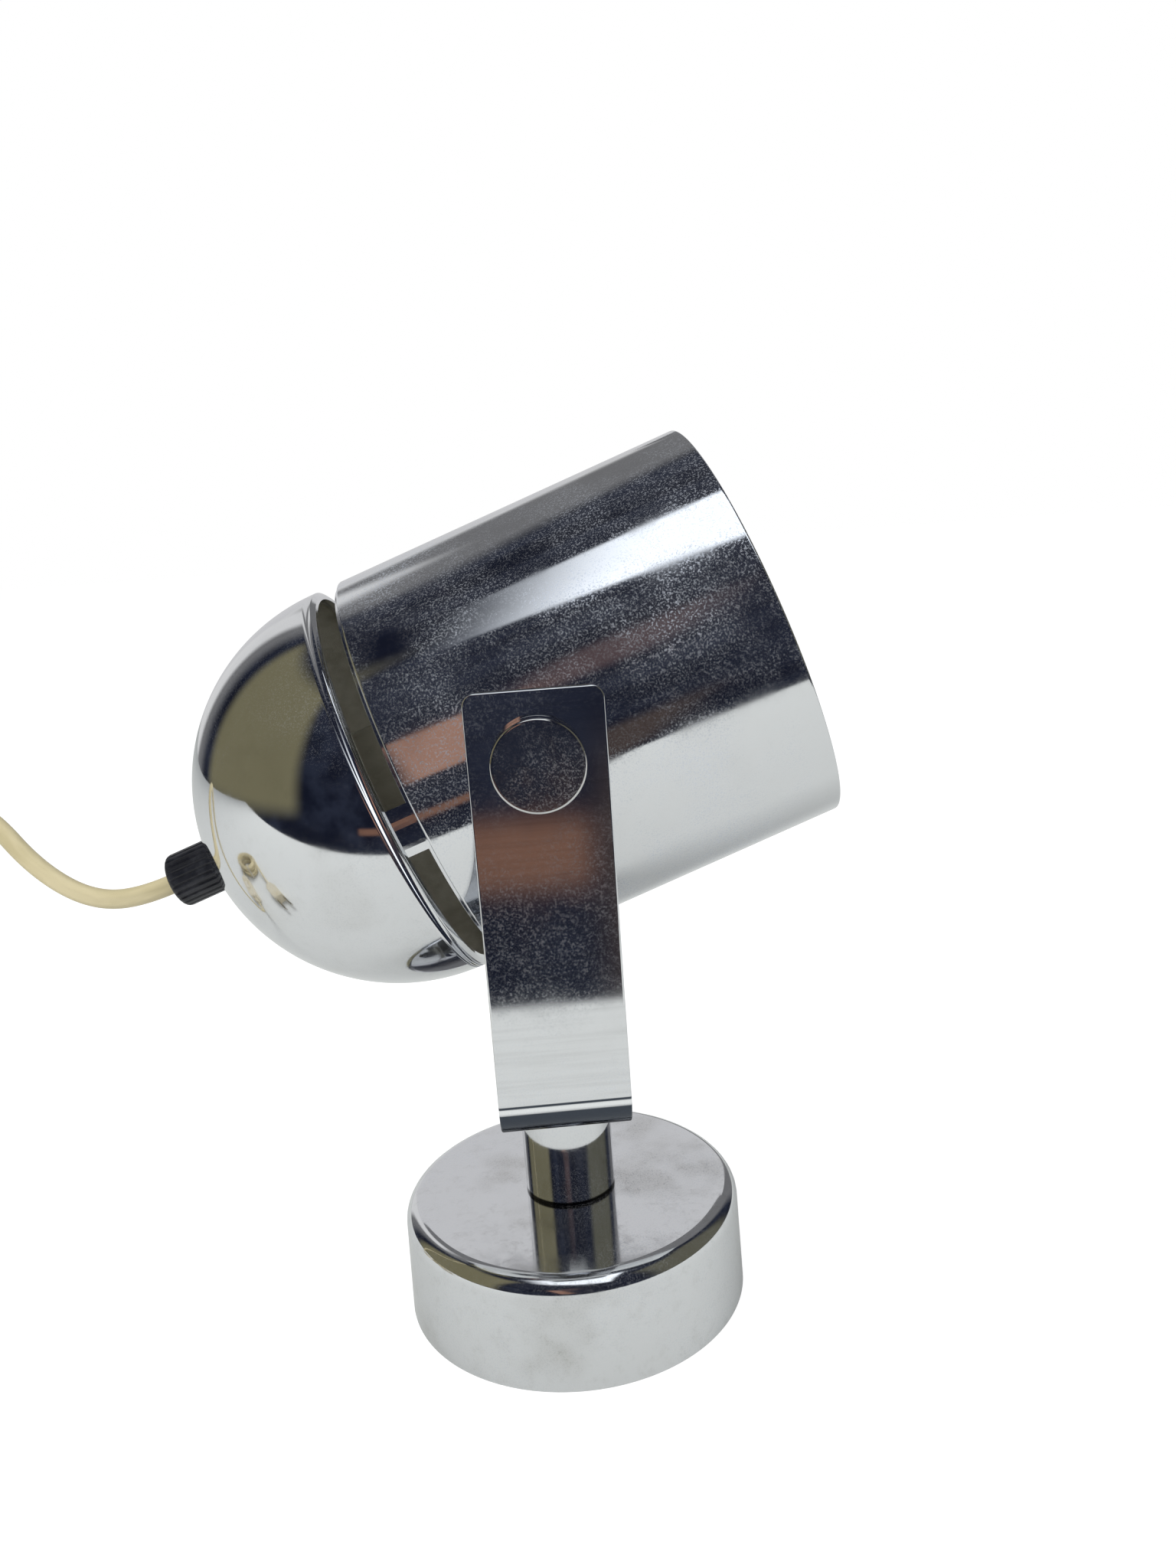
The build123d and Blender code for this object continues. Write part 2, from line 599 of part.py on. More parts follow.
# Bulb: a small round lamp with a screw cap
TIP_END = CONTACT_END + BULB_TIP_LENGTH
BULB_CAP_START = TIP_END + BULB_INSULATOR_LENGTH
BULB_CAP_END = BULB_CAP_START + BULB_CAP_LENGTH
BULB_CENTRE = BULB_CAP_END + BULB_CENTRE_PAST_CAP
with BuildPart() as bulb_cap:
    turn(
        ring(BULB_CAP_START, BULB_CAP_END, BULB_CAP_RADIUS - BULB_GLASS, BULB_CAP_RADIUS),
        HEAD,
    )
save(bulb_cap, "bulb_cap")

with BuildPart() as bulb_insulator:
    turn(
        [
            (TIP_END, 0),
            (TIP_END, BULB_TIP_RADIUS),
            (BULB_CAP_START, BULB_CAP_RADIUS),
            (BULB_CAP_START, 0),
        ],
        HEAD,
    )
save(bulb_insulator, "bulb_insulator")

with BuildPart() as bulb_tip:
    turn(ring(CONTACT_END, TIP_END, 0, BULB_TIP_RADIUS), HEAD)
save(bulb_tip, "bulb_tip")


BALL_FRONT_ANGLE = 45
BALL_BACK_ANGLE = 100


def bulb_side(inset):
    """Where the neck, the shoulder and the ball of the bulb meet, drawn in by the inset."""
    ball = BULB_RADIUS - inset
    shoulder = BULB_SHOULDER_RADIUS - inset
    back = math.sqrt(ball**2 - shoulder**2)
    return (
        (BULB_CAP_END, BULB_NECK_RADIUS - inset),
        (BULB_CENTRE - back, shoulder),
        (BULB_CENTRE, ball),
        (BULB_CENTRE + ball, 0),
        (-shoulder / ball, -back / ball),
    )


def on_ball(radius, angle):
    """A place on the ball, by its angle in degrees back from the ball's front."""
    across = math.radians(angle)
    return (BULB_CENTRE + radius * math.cos(across), radius * math.sin(across))


with BuildPart() as bulb_glass:
    with BuildSketch(HEAD):
        with BuildLine():
            neck, shoulder, crown, front, slope = bulb_side(0)
            TangentArc(shoulder, neck, tangent=slope)
            ThreePointArc(shoulder, on_ball(BULB_RADIUS, BALL_BACK_ANGLE), crown)
            ThreePointArc(crown, on_ball(BULB_RADIUS, BALL_FRONT_ANGLE), front)
            inner_neck, inner_shoulder, inner_crown, inner_front, inner_slope = bulb_side(BULB_GLASS)
            inner_ball = BULB_RADIUS - BULB_GLASS
            Line(front, inner_front)
            ThreePointArc(inner_front, on_ball(inner_ball, BALL_FRONT_ANGLE), inner_crown)
            ThreePointArc(inner_crown, on_ball(inner_ball, BALL_BACK_ANGLE), inner_shoulder)
            TangentArc(inner_shoulder, inner_neck, tangent=inner_slope)
            Line(inner_neck, neck)
        make_face()
    revolve(axis=Axis(HEAD.origin, HEAD.x_dir))
save(bulb_glass, "bulb_glass")

# Cord from the gland to the switch, over an arch and down to the table
HEAD_CORD_ROUTE = [
    (-81.99, 0.0, 108.06),
    (-91.0, 0.0, 104.78),
    (-102.3, 0.7, 105.6),
    (-113.3, 2.6, 113.2),
    (-122.6, 5.2, 125.4),
    (-133.5, 8.4, 130.5),
    (-145.5, 11.6, 129.9),
    (-155.8, 15.0, 123.7),
    (-162.0, 18.6, 113.4),
    (-163.2, 23.0, 98.0),
    (-163.2, 27.2, 80.0),
    (-162.6, 30.6, 60.0),
    (-161.8, 32.6, 41.0),
    (-161.0, 33.0, 23.0),
    (-167.0, 33.0, 12.6),
    (-177.5, 33.0, 6.5),
    (-190.0, 33.0, 6.5),
]
SWITCH_CORD_ROUTE = [
    (-254.0, 33.0, 6.5),
    (-263.5, 33.0, 6.5),
    (-275.0, 33.0, 3.2),
    (-284.5, 33.0, 3.2),
]
PLUG_CORD_ROUTE = [
    (-284.5, -32.45, 17.9),
    (-271.5, -32.45, 17.9),
    (-247.0, -32.45, 6.8),
    (-234.0, -32.45, 6.8),
]


def route_radii(points):
    """The largest radius that each corner's two runs allow."""
    radii = []
    for before, corner, after in zip(points, points[1:], points[2:]):
        first = Vector(*corner) - Vector(*before)
        second = Vector(*after) - Vector(*corner)
        half_turn = math.radians(first.get_angle(second)) / 2
        radii.append(BEND_SHARE * min(first.length, second.length) / math.tan(half_turn))
    return radii


def cord_tube(points, label):
    """Sweep the cord's round section along a route, and print its radii and length."""
    radii = route_radii(points)
    with BuildLine() as route:
        FilletPolyline(*points, radius=radii)
    path = route.wire()
    with BuildSketch(Plane(origin=path @ 0, z_dir=path % 0), mode=Mode.PRIVATE) as section:
        Circle(CORD_RADIUS)
    tube = sweep(section.sketch, path=path)
    length = path.length
    share = tube.volume / (length * math.pi * CORD_RADIUS**2)
    print(label, "length", round(length, 1), "volume share", round(share, 4))
    print(label, "radii", [round(radius, 1) for radius in radii])


with BuildPart() as head_cord:
    cord_tube(HEAD_CORD_ROUTE, "head_cord")
save(head_cord, "head_cord")

with BuildPart() as switch_cord:
    cord_tube(SWITCH_CORD_ROUTE, "switch_cord")
save(switch_cord, "switch_cord")

with BuildPart() as plug_cord:
    cord_tube(PLUG_CORD_ROUTE, "plug_cord")
save(plug_cord, "plug_cord")

# Inline switch: two moulded halves that meet at the cord's height
SWITCH_INLET_X, SWITCH_Y = HEAD_CORD_ROUTE[-1][:2]
NOZZLE_END = SWITCH_LENGTH / 2 + NOZZLE_LENGTH
SWITCH_MIDDLE = SWITCH_INLET_X - NOZZLE_END
SWITCH_TOP = SWITCH_SPLIT + SWITCH_COVER_HEIGHT
ROCKER_PIVOT_Z = SWITCH_TOP - ROCKER_PIVOT_DEPTH
SWITCH_FLOOR = Plane(origin=(SWITCH_MIDDLE, SWITCH_Y, 0), x_dir=(1, 0, 0), z_dir=(0, 0, 1))
SEAM = SWITCH_FLOOR.offset(SWITCH_SPLIT)
CORD_LINE = Plane(origin=(SWITCH_MIDDLE, SWITCH_Y, SWITCH_SPLIT), x_dir=(1, 0, 0), z_dir=(0, -1, 0))
BUSH_FACE = Plane(
    origin=(SWITCH_MIDDLE - NOZZLE_END, SWITCH_Y, SWITCH_SPLIT), x_dir=(0, 1, 0), z_dir=(1, 0, 0)
)
ROCKER_SIDE = Plane(origin=(SWITCH_MIDDLE, SWITCH_Y, ROCKER_PIVOT_Z), x_dir=(1, 0, 0), z_dir=(0, -1, 0))
SCREW_PLACES = [(SHELL_SCREW_ALONG, SHELL_SCREW_ACROSS), (-SHELL_SCREW_ALONG, -SHELL_SCREW_ACROSS)]
SCREW_HOLE = SHELL_SCREW_RADIUS + THREAD_CLEARANCE
SCREW_POST = SHELL_SCREW_HEAD + THREAD_CLEARANCE + SCREW_POST_WALL


def switch_block(outer):
    """The solid block of one half, from its outer face to the seam."""
    with BuildSketch(SWITCH_FLOOR.offset(outer), mode=Mode.PRIVATE) as block:
        RectangleRounded(SWITCH_LENGTH, SWITCH_WIDTH, SWITCH_CORNER_RADIUS)
    extrude(block.sketch, amount=SWITCH_SPLIT - outer)


def switch_inside(floor, half):
    """Add half of both bushes, then cut the pocket to its floor, leaving the screw posts."""
    with BuildSketch(BUSH_FACE, mode=Mode.PRIVATE) as bush:
        Circle(NOZZLE_RADIUS)
        Rectangle(3 * NOZZLE_RADIUS, 2 * NOZZLE_RADIUS, align=(Align.CENTER, half), mode=Mode.INTERSECT)
    extrude(bush.sketch, amount=2 * NOZZLE_END)
    with BuildSketch(SEAM, mode=Mode.PRIVATE) as pocket:
        RectangleRounded(
            SWITCH_LENGTH - 2 * SWITCH_WALL,
            SWITCH_WIDTH - 2 * SWITCH_WALL,
            SWITCH_CORNER_RADIUS - SWITCH_WALL,
        )
        with Locations(*SCREW_PLACES):
            Circle(SCREW_POST, mode=Mode.SUBTRACT)
    extrude(pocket.sketch, amount=floor - SWITCH_SPLIT, mode=Mode.SUBTRACT)
    turn(ring(-NOZZLE_END, NOZZLE_END, 0, CORD_HOLE), CORD_LINE, mode=Mode.SUBTRACT)


def at_screws(start, radius, depth, mode):
    """A round post or hole at each screw place."""
    with BuildSketch(SWITCH_FLOOR.offset(start), mode=Mode.PRIVATE) as rounds:
        with Locations(*SCREW_PLACES):
            Circle(radius)
    extrude(rounds.sketch, amount=depth, mode=mode)


with BuildPart() as switch_lower:
    switch_block(0)
    fillet(switch_lower.faces().sort_by(Axis.Z)[0].edges(), SWITCH_EDGE_RADIUS)
    switch_inside(SWITCH_WALL, Align.MAX)
    at_screws(0, SHELL_SCREW_HEAD + THREAD_CLEARANCE, SHELL_SCREW_HEAD_HEIGHT, Mode.SUBTRACT)
    at_screws(SHELL_SCREW_HEAD_HEIGHT, SCREW_HOLE, SWITCH_SPLIT - SHELL_SCREW_HEAD_HEIGHT, Mode.SUBTRACT)
save(switch_lower, "switch_lower")

SLOT_REACH = math.sqrt(ROCKER_REACH**2 - (ROCKER_PIVOT_DEPTH - SWITCH_WALL) ** 2) + ROCKER_GAP
SLOT_SIDE = ROCKER_WIDTH / 2 + ROCKER_GAP
SCREW_TOP = SWITCH_SPLIT + SHELL_SCREW_GRIP
with BuildPart() as switch_upper:
    switch_block(SWITCH_TOP)
    fillet(switch_upper.faces().sort_by(Axis.Z)[-1].edges(), SWITCH_EDGE_RADIUS)
    switch_inside(SWITCH_TOP - SWITCH_WALL, Align.MIN)
    at_screws(SWITCH_SPLIT, SCREW_HOLE, SHELL_SCREW_GRIP + THREAD_CLEARANCE, Mode.SUBTRACT)
    with BuildSketch(ROCKER_SIDE.offset(-SLOT_SIDE - CHEEK_THICKNESS)):
        with BuildLine():
            Polyline(
                (-CHEEK_LENGTH / 2, ROCKER_PIVOT_DEPTH - SWITCH_WALL / 2),
                (-CHEEK_LENGTH / 2, 0),
                (-CHEEK_END_LENGTH / 2, -CHEEK_LENGTH / 2),
                (CHEEK_END_LENGTH / 2, -CHEEK_LENGTH / 2),
                (CHEEK_LENGTH / 2, 0),
                (CHEEK_LENGTH / 2, ROCKER_PIVOT_DEPTH - SWITCH_WALL / 2),
                close=True,
            )
        make_face()
    extrude(amount=2 * (SLOT_SIDE + CHEEK_THICKNESS))
    with BuildSketch(SWITCH_FLOOR.offset(SWITCH_TOP)):
        Rectangle(2 * SLOT_REACH, 2 * SLOT_SIDE)
    extrude(amount=-SWITCH_COVER_HEIGHT, mode=Mode.SUBTRACT)
    with BuildSketch(ROCKER_SIDE.offset(-SLOT_SIDE - CHEEK_THICKNESS)):
        Circle(ROCKER_PIN_RADIUS + ROCKER_PIN_CLEARANCE)
    extrude(amount=2 * (SLOT_SIDE + CHEEK_THICKNESS), mode=Mode.SUBTRACT)
save(switch_upper, "switch_upper")

with BuildPart() as switch_screws:
    at_screws(THREAD_CLEARANCE, SHELL_SCREW_HEAD, SHELL_SCREW_HEAD_HEIGHT - THREAD_CLEARANCE, Mode.ADD)
    at_screws(SHELL_SCREW_HEAD_HEIGHT, SHELL_SCREW_RADIUS, SCREW_TOP - SHELL_SCREW_HEAD_HEIGHT, Mode.ADD)
save(switch_screws, "switch_screws")

with BuildPart() as switch_leads:
    turn(ring(NOZZLE_END - SWITCH_LEAD_LENGTH, NOZZLE_END, 0, CORD_RADIUS), CORD_LINE)
    turn(ring(-NOZZLE_END, SWITCH_LEAD_LENGTH - NOZZLE_END, 0, CORD_RADIUS), CORD_LINE)
save(switch_leads, "switch_leads")

with BuildPart() as switch_contacts:
    with BuildSketch(SWITCH_FLOOR.offset(SWITCH_WALL)):
        with GridLocations(2 * STRIP_OFFSET, 0, 2, 1):
            Rectangle(STRIP_LENGTH, STRIP_WIDTH)
    extrude(amount=STRIP_HEIGHT)
save(switch_contacts, "switch_contacts")

# Rocker: its ends are arcs about the pin, and one wing lies flush while the other stands proud
WING_TILT = math.radians(ROCKER_ANGLE)
ROCKER_REST = Plane(
    origin=ROCKER_SIDE.origin, x_dir=(math.cos(WING_TILT), 0, -math.sin(WING_TILT)), z_dir=(0, -1, 0)
)
WING_LENGTH = math.sqrt(ROCKER_REACH**2 - ROCKER_PIVOT_DEPTH**2)
WING_END = (
    WING_LENGTH * math.cos(WING_TILT) - ROCKER_PIVOT_DEPTH * math.sin(WING_TILT),
    WING_LENGTH * math.sin(WING_TILT) + ROCKER_PIVOT_DEPTH * math.cos(WING_TILT),
)
UNDER_END = (math.sqrt(ROCKER_REACH**2 - ROCKER_UNDERSIDE**2), ROCKER_UNDERSIDE)
with BuildPart() as switch_rocker:
    with BuildSketch(ROCKER_REST.offset(-ROCKER_WIDTH / 2)) as rocker_profile:
        with BuildLine():
            valley = (0, ROCKER_PIVOT_DEPTH / math.cos(WING_TILT))
            Polyline((-WING_END[0], WING_END[1]), valley, WING_END)
            RadiusArc(WING_END, UNDER_END, ROCKER_REACH)
            Polyline(
                UNDER_END,
                (ROCKER_HUB_WIDTH / 2, ROCKER_UNDERSIDE),
                (ROCKER_NOSE_WIDTH / 2, -ROCKER_NOSE_DEPTH),
                (-ROCKER_NOSE_WIDTH / 2, -ROCKER_NOSE_DEPTH),
                (-ROCKER_HUB_WIDTH / 2, ROCKER_UNDERSIDE),
                (-UNDER_END[0], ROCKER_UNDERSIDE),
            )
            RadiusArc((-UNDER_END[0], UNDER_END[1]), (-WING_END[0], WING_END[1]), ROCKER_REACH)
        make_face()
    extrude(amount=ROCKER_WIDTH)
    with BuildSketch(ROCKER_REST.offset(-SLOT_SIDE - CHEEK_THICKNESS + ROCKER_GAP)):
        Circle(ROCKER_PIN_RADIUS)
    extrude(amount=2 * (SLOT_SIDE + CHEEK_THICKNESS - ROCKER_GAP))
save(switch_rocker, "switch_rocker")

# Coil: a flat spiral of two turns in, then two turns out one layer up, four layers in all
COIL_PITCH = CORD_DIAMETER + COIL_TURN_GAP
COIL_FIRST_LAYER = TIE_THICKNESS + TIE_CLEARANCE + CORD_RADIUS
COIL_X = SWITCH_CORD_ROUTE[-1][0] - CORD_DIAMETER
COIL_Y = SWITCH_CORD_ROUTE[-1][1] - COIL_OUTER_TURN
COIL_QUARTERS = 4 * COIL_LAYERS * COIL_TURNS_PER_LAYER + COIL_LAST_QUARTERS


def coil_place(quarter):
    """Where the cord's centre is after so many quarter turns, and which way it runs there."""
    turns = quarter / 4
    layer = round(turns / COIL_TURNS_PER_LAYER)
    past = turns - layer * COIL_TURNS_PER_LAYER
    reverses = 0 < layer < COIL_LAYERS and past == 0
    inward = int(turns / COIL_TURNS_PER_LAYER) % 2 == 0
    wave = turns % (2 * COIL_TURNS_PER_LAYER)
    if quarter >= COIL_QUARTERS - COIL_LAST_QUARTERS:
        radius = COIL_OUTER_TURN + COIL_PITCH * past
        inward = False
    else:
        radius = COIL_OUTER_TURN - COIL_PITCH * min(wave, 2 * COIL_TURNS_PER_LAYER - wave)
    ends = quarter in (0, COIL_QUARTERS)
    level = min(int(turns / COIL_TURNS_PER_LAYER), COIL_LAYERS - 1)
    height = COIL_FIRST_LAYER + COIL_PITCH * level
    climb = 0
    if reverses:
        height -= COIL_PITCH / 2
        climb = COIL_PITCH * math.pi
    angle = math.pi / 2 * (1 + quarter)
    outward = Vector(math.cos(angle), math.sin(angle), 0)
    onward = Vector(-math.sin(angle), math.cos(angle), 0)
    spread = 0 if reverses or ends else COIL_PITCH * (-1 if inward else 1)
    heading = onward * (2 * math.pi * radius) + outward * spread + Vector(0, 0, climb)
    return Vector(COIL_X, COIL_Y, height) + outward * radius, heading.normalized()


def biarc(start, start_heading, end, end_heading):
    """Two arcs that meet smoothly between two places on the coil, as far from one as from the other."""
    chord = end - start
    both = start_heading + end_heading
    square = 2 * (1 - start_heading.dot(end_heading))
    reach = (math.sqrt(chord.dot(both) ** 2 + square * chord.dot(chord)) - chord.dot(both)) / square
    first = start + start_heading * reach
    last = end - end_heading * reach
    middle = (first + last) / 2
    TangentArc(start, middle, tangent=start_heading)
    TangentArc(middle, end, tangent=last - first)


with BuildPart() as cord_coil:
    with BuildLine() as coil_line:
        places = [coil_place(quarter) for quarter in range(COIL_QUARTERS + 1)]
        Line(places[0][0] - places[0][1] * CORD_DIAMETER, places[0][0])
        for (start, start_heading), (end, end_heading) in zip(places, places[1:]):
            biarc(start, start_heading, end, end_heading)
        Line(places[-1][0], places[-1][0] + places[-1][1] * CORD_DIAMETER)
    coil_path = coil_line.wire()
    with BuildSketch(Plane(origin=coil_path @ 0, z_dir=coil_path % 0)):
        Circle(CORD_RADIUS)
    sweep(path=coil_path)
save(cord_coil, "cord_coil")
coil_share = cord_coil.part.volume / (coil_path.length * math.pi * CORD_RADIUS**2)
print("cord_coil length", round(coil_path.length, 1), "volume share", round(coil_share, 4))
SAMPLES = 2000
APART = 4 * CORD_DIAMETER
samples = [tuple(coil_path @ (sample / SAMPLES)) for sample in range(SAMPLES + 1)]
skip = math.ceil(SAMPLES * APART / coil_path.length)
least = min(math.dist(one, other) for at, one in enumerate(samples) for other in samples[at + skip :])
print("cord_coil least gap to itself", round(least - CORD_DIAMETER, 3))

# Tie: a strap round the coil's turns on the side towards the lamp
COIL_HIGH = COIL_FIRST_LAYER + COIL_PITCH * (COIL_LAYERS - 1) + CORD_RADIUS
TIE_FAR = COIL_OUTER_TURN - COIL_PITCH / 4 + CORD_RADIUS + TIE_CLEARANCE
TIE_NEAR = COIL_OUTER_TURN - COIL_PITCH * (COIL_TURNS_PER_LAYER - 0.25) - CORD_RADIUS - TIE_CLEARANCE
TIE_LOW = TIE_THICKNESS
TIE_HIGH = COIL_HIGH + TIE_CLEARANCE
with BuildPart() as coil_tie:
    tie_side = Plane(origin=(COIL_X, COIL_Y + TIE_WIDTH / 2, 0), x_dir=(1, 0, 0), z_dir=(0, -1, 0))
    with BuildSketch(tie_side):
        with Locations(((TIE_FAR + TIE_NEAR) / 2, (TIE_LOW + TIE_HIGH) / 2)):
            RectangleRounded(
                TIE_FAR - TIE_NEAR + 2 * TIE_THICKNESS,
                TIE_HIGH - TIE_LOW + 2 * TIE_THICKNESS,
                TIE_CORNER + TIE_THICKNESS,
            )
            RectangleRounded(TIE_FAR - TIE_NEAR, TIE_HIGH - TIE_LOW, TIE_CORNER, mode=Mode.SUBTRACT)
    extrude(amount=TIE_WIDTH)
save(coil_tie, "coil_tie")

# Plug: a moulded body with a tapered relief behind it and two round pins in front
PLUG_X, PLUG_Y = PLUG_CORD_ROUTE[-1][:2]
PLUG_FRONT = RELIEF_LENGTH + PLUG_LENGTH
PLUG_FLOOR = Plane(origin=(PLUG_X, PLUG_Y, 0), x_dir=(1, 0, 0), z_dir=(0, 0, 1))
PLUG_AXIS = Plane(origin=(PLUG_X, PLUG_Y, PLUG_HEIGHT / 2), x_dir=(1, 0, 0), z_dir=(0, -1, 0))
PIN_FACE = Plane(
    origin=(PLUG_X + PLUG_FRONT, PLUG_Y, PLUG_HEIGHT / 2), x_dir=(0, 1, 0), z_dir=(1, 0, 0)
)
with BuildPart() as plug_body:
    with BuildSketch(PLUG_FLOOR):
        with BuildLine():
            Polyline(
                (RELIEF_LENGTH, -PLUG_BACK_WIDTH / 2),
                (RELIEF_LENGTH + PLUG_SHOULDER, -PLUG_WIDTH / 2),
                (PLUG_FRONT, -PLUG_NOSE_WIDTH / 2),
                (PLUG_FRONT, PLUG_NOSE_WIDTH / 2),
                (RELIEF_LENGTH + PLUG_SHOULDER, PLUG_WIDTH / 2),
                (RELIEF_LENGTH, PLUG_BACK_WIDTH / 2),
                close=True,
            )
        make_face()
    extrude(amount=PLUG_HEIGHT)
    fillet(plug_body.edges().filter_by(Axis.Z), PLUG_CORNER_RADIUS)
    fillet(plug_body.faces().filter_by(Axis.Z).edges(), PLUG_EDGE_RADIUS)
    turn(
        [
            (0, 0),
            (0, RELIEF_RADIUS),
            (RELIEF_LENGTH, RELIEF_ROOT_RADIUS),
            (RELIEF_LENGTH + PLUG_SHOULDER, RELIEF_ROOT_RADIUS),
            (RELIEF_LENGTH + PLUG_SHOULDER, 0),
        ],
        PLUG_AXIS,
    )
    with BuildSketch(PIN_FACE):
        with GridLocations(PIN_SPACING, 0, 2, 1):
            Circle(PIN_RADIUS + SEAT_CLEARANCE)
    extrude(amount=-PIN_SEAT, mode=Mode.SUBTRACT)
save(plug_body, "plug_body")

with BuildPart() as plug_pins:
    with BuildSketch(PIN_FACE.offset(-PIN_SEAT)):
        with GridLocations(PIN_SPACING, 0, 2, 1):
            Circle(PIN_RADIUS)
    extrude(amount=PIN_SEAT + PIN_LENGTH)
    fillet(plug_pins.faces().sort_by(Axis.X)[-2:].edges(), PIN_END_RADIUS)
save(plug_pins, "plug_pins")
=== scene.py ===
import math

import bpy
import numpy as np
from mathutils import Matrix, Vector


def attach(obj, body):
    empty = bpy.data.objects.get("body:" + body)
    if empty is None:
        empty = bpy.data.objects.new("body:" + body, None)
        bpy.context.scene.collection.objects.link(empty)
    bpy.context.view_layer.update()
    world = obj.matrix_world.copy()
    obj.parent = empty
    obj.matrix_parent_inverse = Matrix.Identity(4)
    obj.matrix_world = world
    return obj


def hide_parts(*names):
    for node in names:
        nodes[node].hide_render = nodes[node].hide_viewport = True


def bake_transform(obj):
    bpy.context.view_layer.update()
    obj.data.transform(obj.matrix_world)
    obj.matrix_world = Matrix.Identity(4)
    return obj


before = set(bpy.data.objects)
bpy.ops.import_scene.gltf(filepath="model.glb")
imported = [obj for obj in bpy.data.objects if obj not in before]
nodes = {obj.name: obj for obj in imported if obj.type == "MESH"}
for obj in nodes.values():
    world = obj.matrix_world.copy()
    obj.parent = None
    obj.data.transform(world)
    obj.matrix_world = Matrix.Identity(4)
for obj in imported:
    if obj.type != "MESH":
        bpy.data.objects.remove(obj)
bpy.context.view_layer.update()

# Camera: it stands close in front of the lamp and a little above it, and looks down and a touch to the
# right. Its place, turn and lens were solved together with the lamp's own sizes from the outlines.
CAMERA_PLACE = Vector((-0.000706, -0.259264, 0.17813))
CAMERA_YAW, CAMERA_PITCH, CAMERA_ROLL = math.radians(2.569), math.radians(12.049), math.radians(-4.088)
CAMERA_LENS, CAMERA_SENSOR = 27.23, 36.0

ahead = Vector((
    math.sin(CAMERA_YAW) * math.cos(CAMERA_PITCH),
    math.cos(CAMERA_YAW) * math.cos(CAMERA_PITCH),
    -math.sin(CAMERA_PITCH),
))
level = Vector((math.cos(CAMERA_YAW), -math.sin(CAMERA_YAW), 0))
upward = level.cross(ahead)
across = level * math.cos(CAMERA_ROLL) + upward * math.sin(CAMERA_ROLL)
upward = upward * math.cos(CAMERA_ROLL) - level * math.sin(CAMERA_ROLL)
camera_data = bpy.data.cameras.new("camera")
camera_data.sensor_fit = "VERTICAL"
camera_data.sensor_height = CAMERA_SENSOR
camera_data.lens = CAMERA_LENS
camera_data.clip_start = 0.01
camera = bpy.data.objects.new("camera", camera_data)
camera_turn = Matrix((across, upward, -ahead)).transposed().to_4x4()
camera.matrix_world = Matrix.Translation(CAMERA_PLACE) @ camera_turn
bpy.context.scene.collection.objects.link(camera)
bpy.context.scene.camera = camera

# Flex: a flat twin cord, two insulated cores side by side in one cream vinyl sheath. It leaves the dome's
# gland, rises a little, arches down to the table and goes into the inline switch.
HEAD_CORD_ROUTE = [
    (-0.08199, 0, 0.10806), (-0.091, 0, 0.10478), (-0.1023, 0.0007, 0.1056), (-0.1133, 0.0026, 0.1132),
    (-0.1226, 0.0052, 0.1254), (-0.1335, 0.0084, 0.1305), (-0.1455, 0.0116, 0.1299),
    (-0.1558, 0.015, 0.1237), (-0.162, 0.0186, 0.1134), (-0.1632, 0.023, 0.098), (-0.1632, 0.0272, 0.08),
    (-0.1626, 0.0306, 0.06), (-0.1618, 0.0326, 0.041), (-0.161, 0.033, 0.023), (-0.167, 0.033, 0.0126),
    (-0.1775, 0.033, 0.0065), (-0.19, 0.033, 0.0065),
]
CORD_WIDTH = 0.0044
CORE_SPREAD = 0.00055
CORD_SIDES = 24
TWIST_FADES = (0.08, 0.04)
TWIST_WAVE, TWIST_WAVE_RUN = 0.25, 0.031
VINYL_GRAIN = {"UV": ((45, 2, 1), (1400, 18, 1)), "Object": ((45, 45, 45), (900, 900, 900))}


def sum_volume(mesh):
    """Six times the volume that the faces close in, which is negative where they point inwards."""
    mesh.calc_loop_triangles()
    places = np.empty(3 * len(mesh.vertices))
    mesh.vertices.foreach_get("co", places)
    corners = np.empty(3 * len(mesh.loop_triangles), int)
    mesh.loop_triangles.foreach_get("vertices", corners)
    first, second, third = places.reshape(-1, 3)[corners.reshape(-1, 3)].transpose(1, 0, 2)
    return float((np.cross(first, second) * third).sum())


def mesh_piece(name, places, faces, material, shade_smooth=True):
    """Make one object at the origin from its places and faces, in metres, with its faces outwards."""
    mesh = bpy.data.meshes.new(name)
    mesh.from_pydata(np.asarray(places, float).tolist(), [], faces)
    mesh.materials.append(material)
    mesh.polygons.foreach_set("use_smooth", np.full(len(mesh.polygons), shade_smooth))
    mesh.update()
    if sum_volume(mesh) < 0:
        mesh.flip_normals()
    piece = bpy.data.objects.new(name, mesh)
    bpy.context.scene.collection.objects.link(piece)
    return piece


def grid_faces(rows, columns, closed=False):
    """Quads between the rows of a grid whose columns join up again.

    A place has the number row*columns + column, and closed joins the last row to the first as well."""
    row, column = np.meshgrid(np.arange(rows if closed else rows - 1), np.arange(columns), indexing="ij")
    here, after = row * columns, (row + 1) % rows * columns
    beside = (column + 1) % columns
    corners = [here + column, here + beside, after + beside, after + column]
    return np.stack(corners, -1).reshape(-1, 4).tolist()


def unit(vectors):
    """Each vector divided by its own length."""
    return vectors / np.linalg.norm(vectors, axis=-1, keepdims=True)


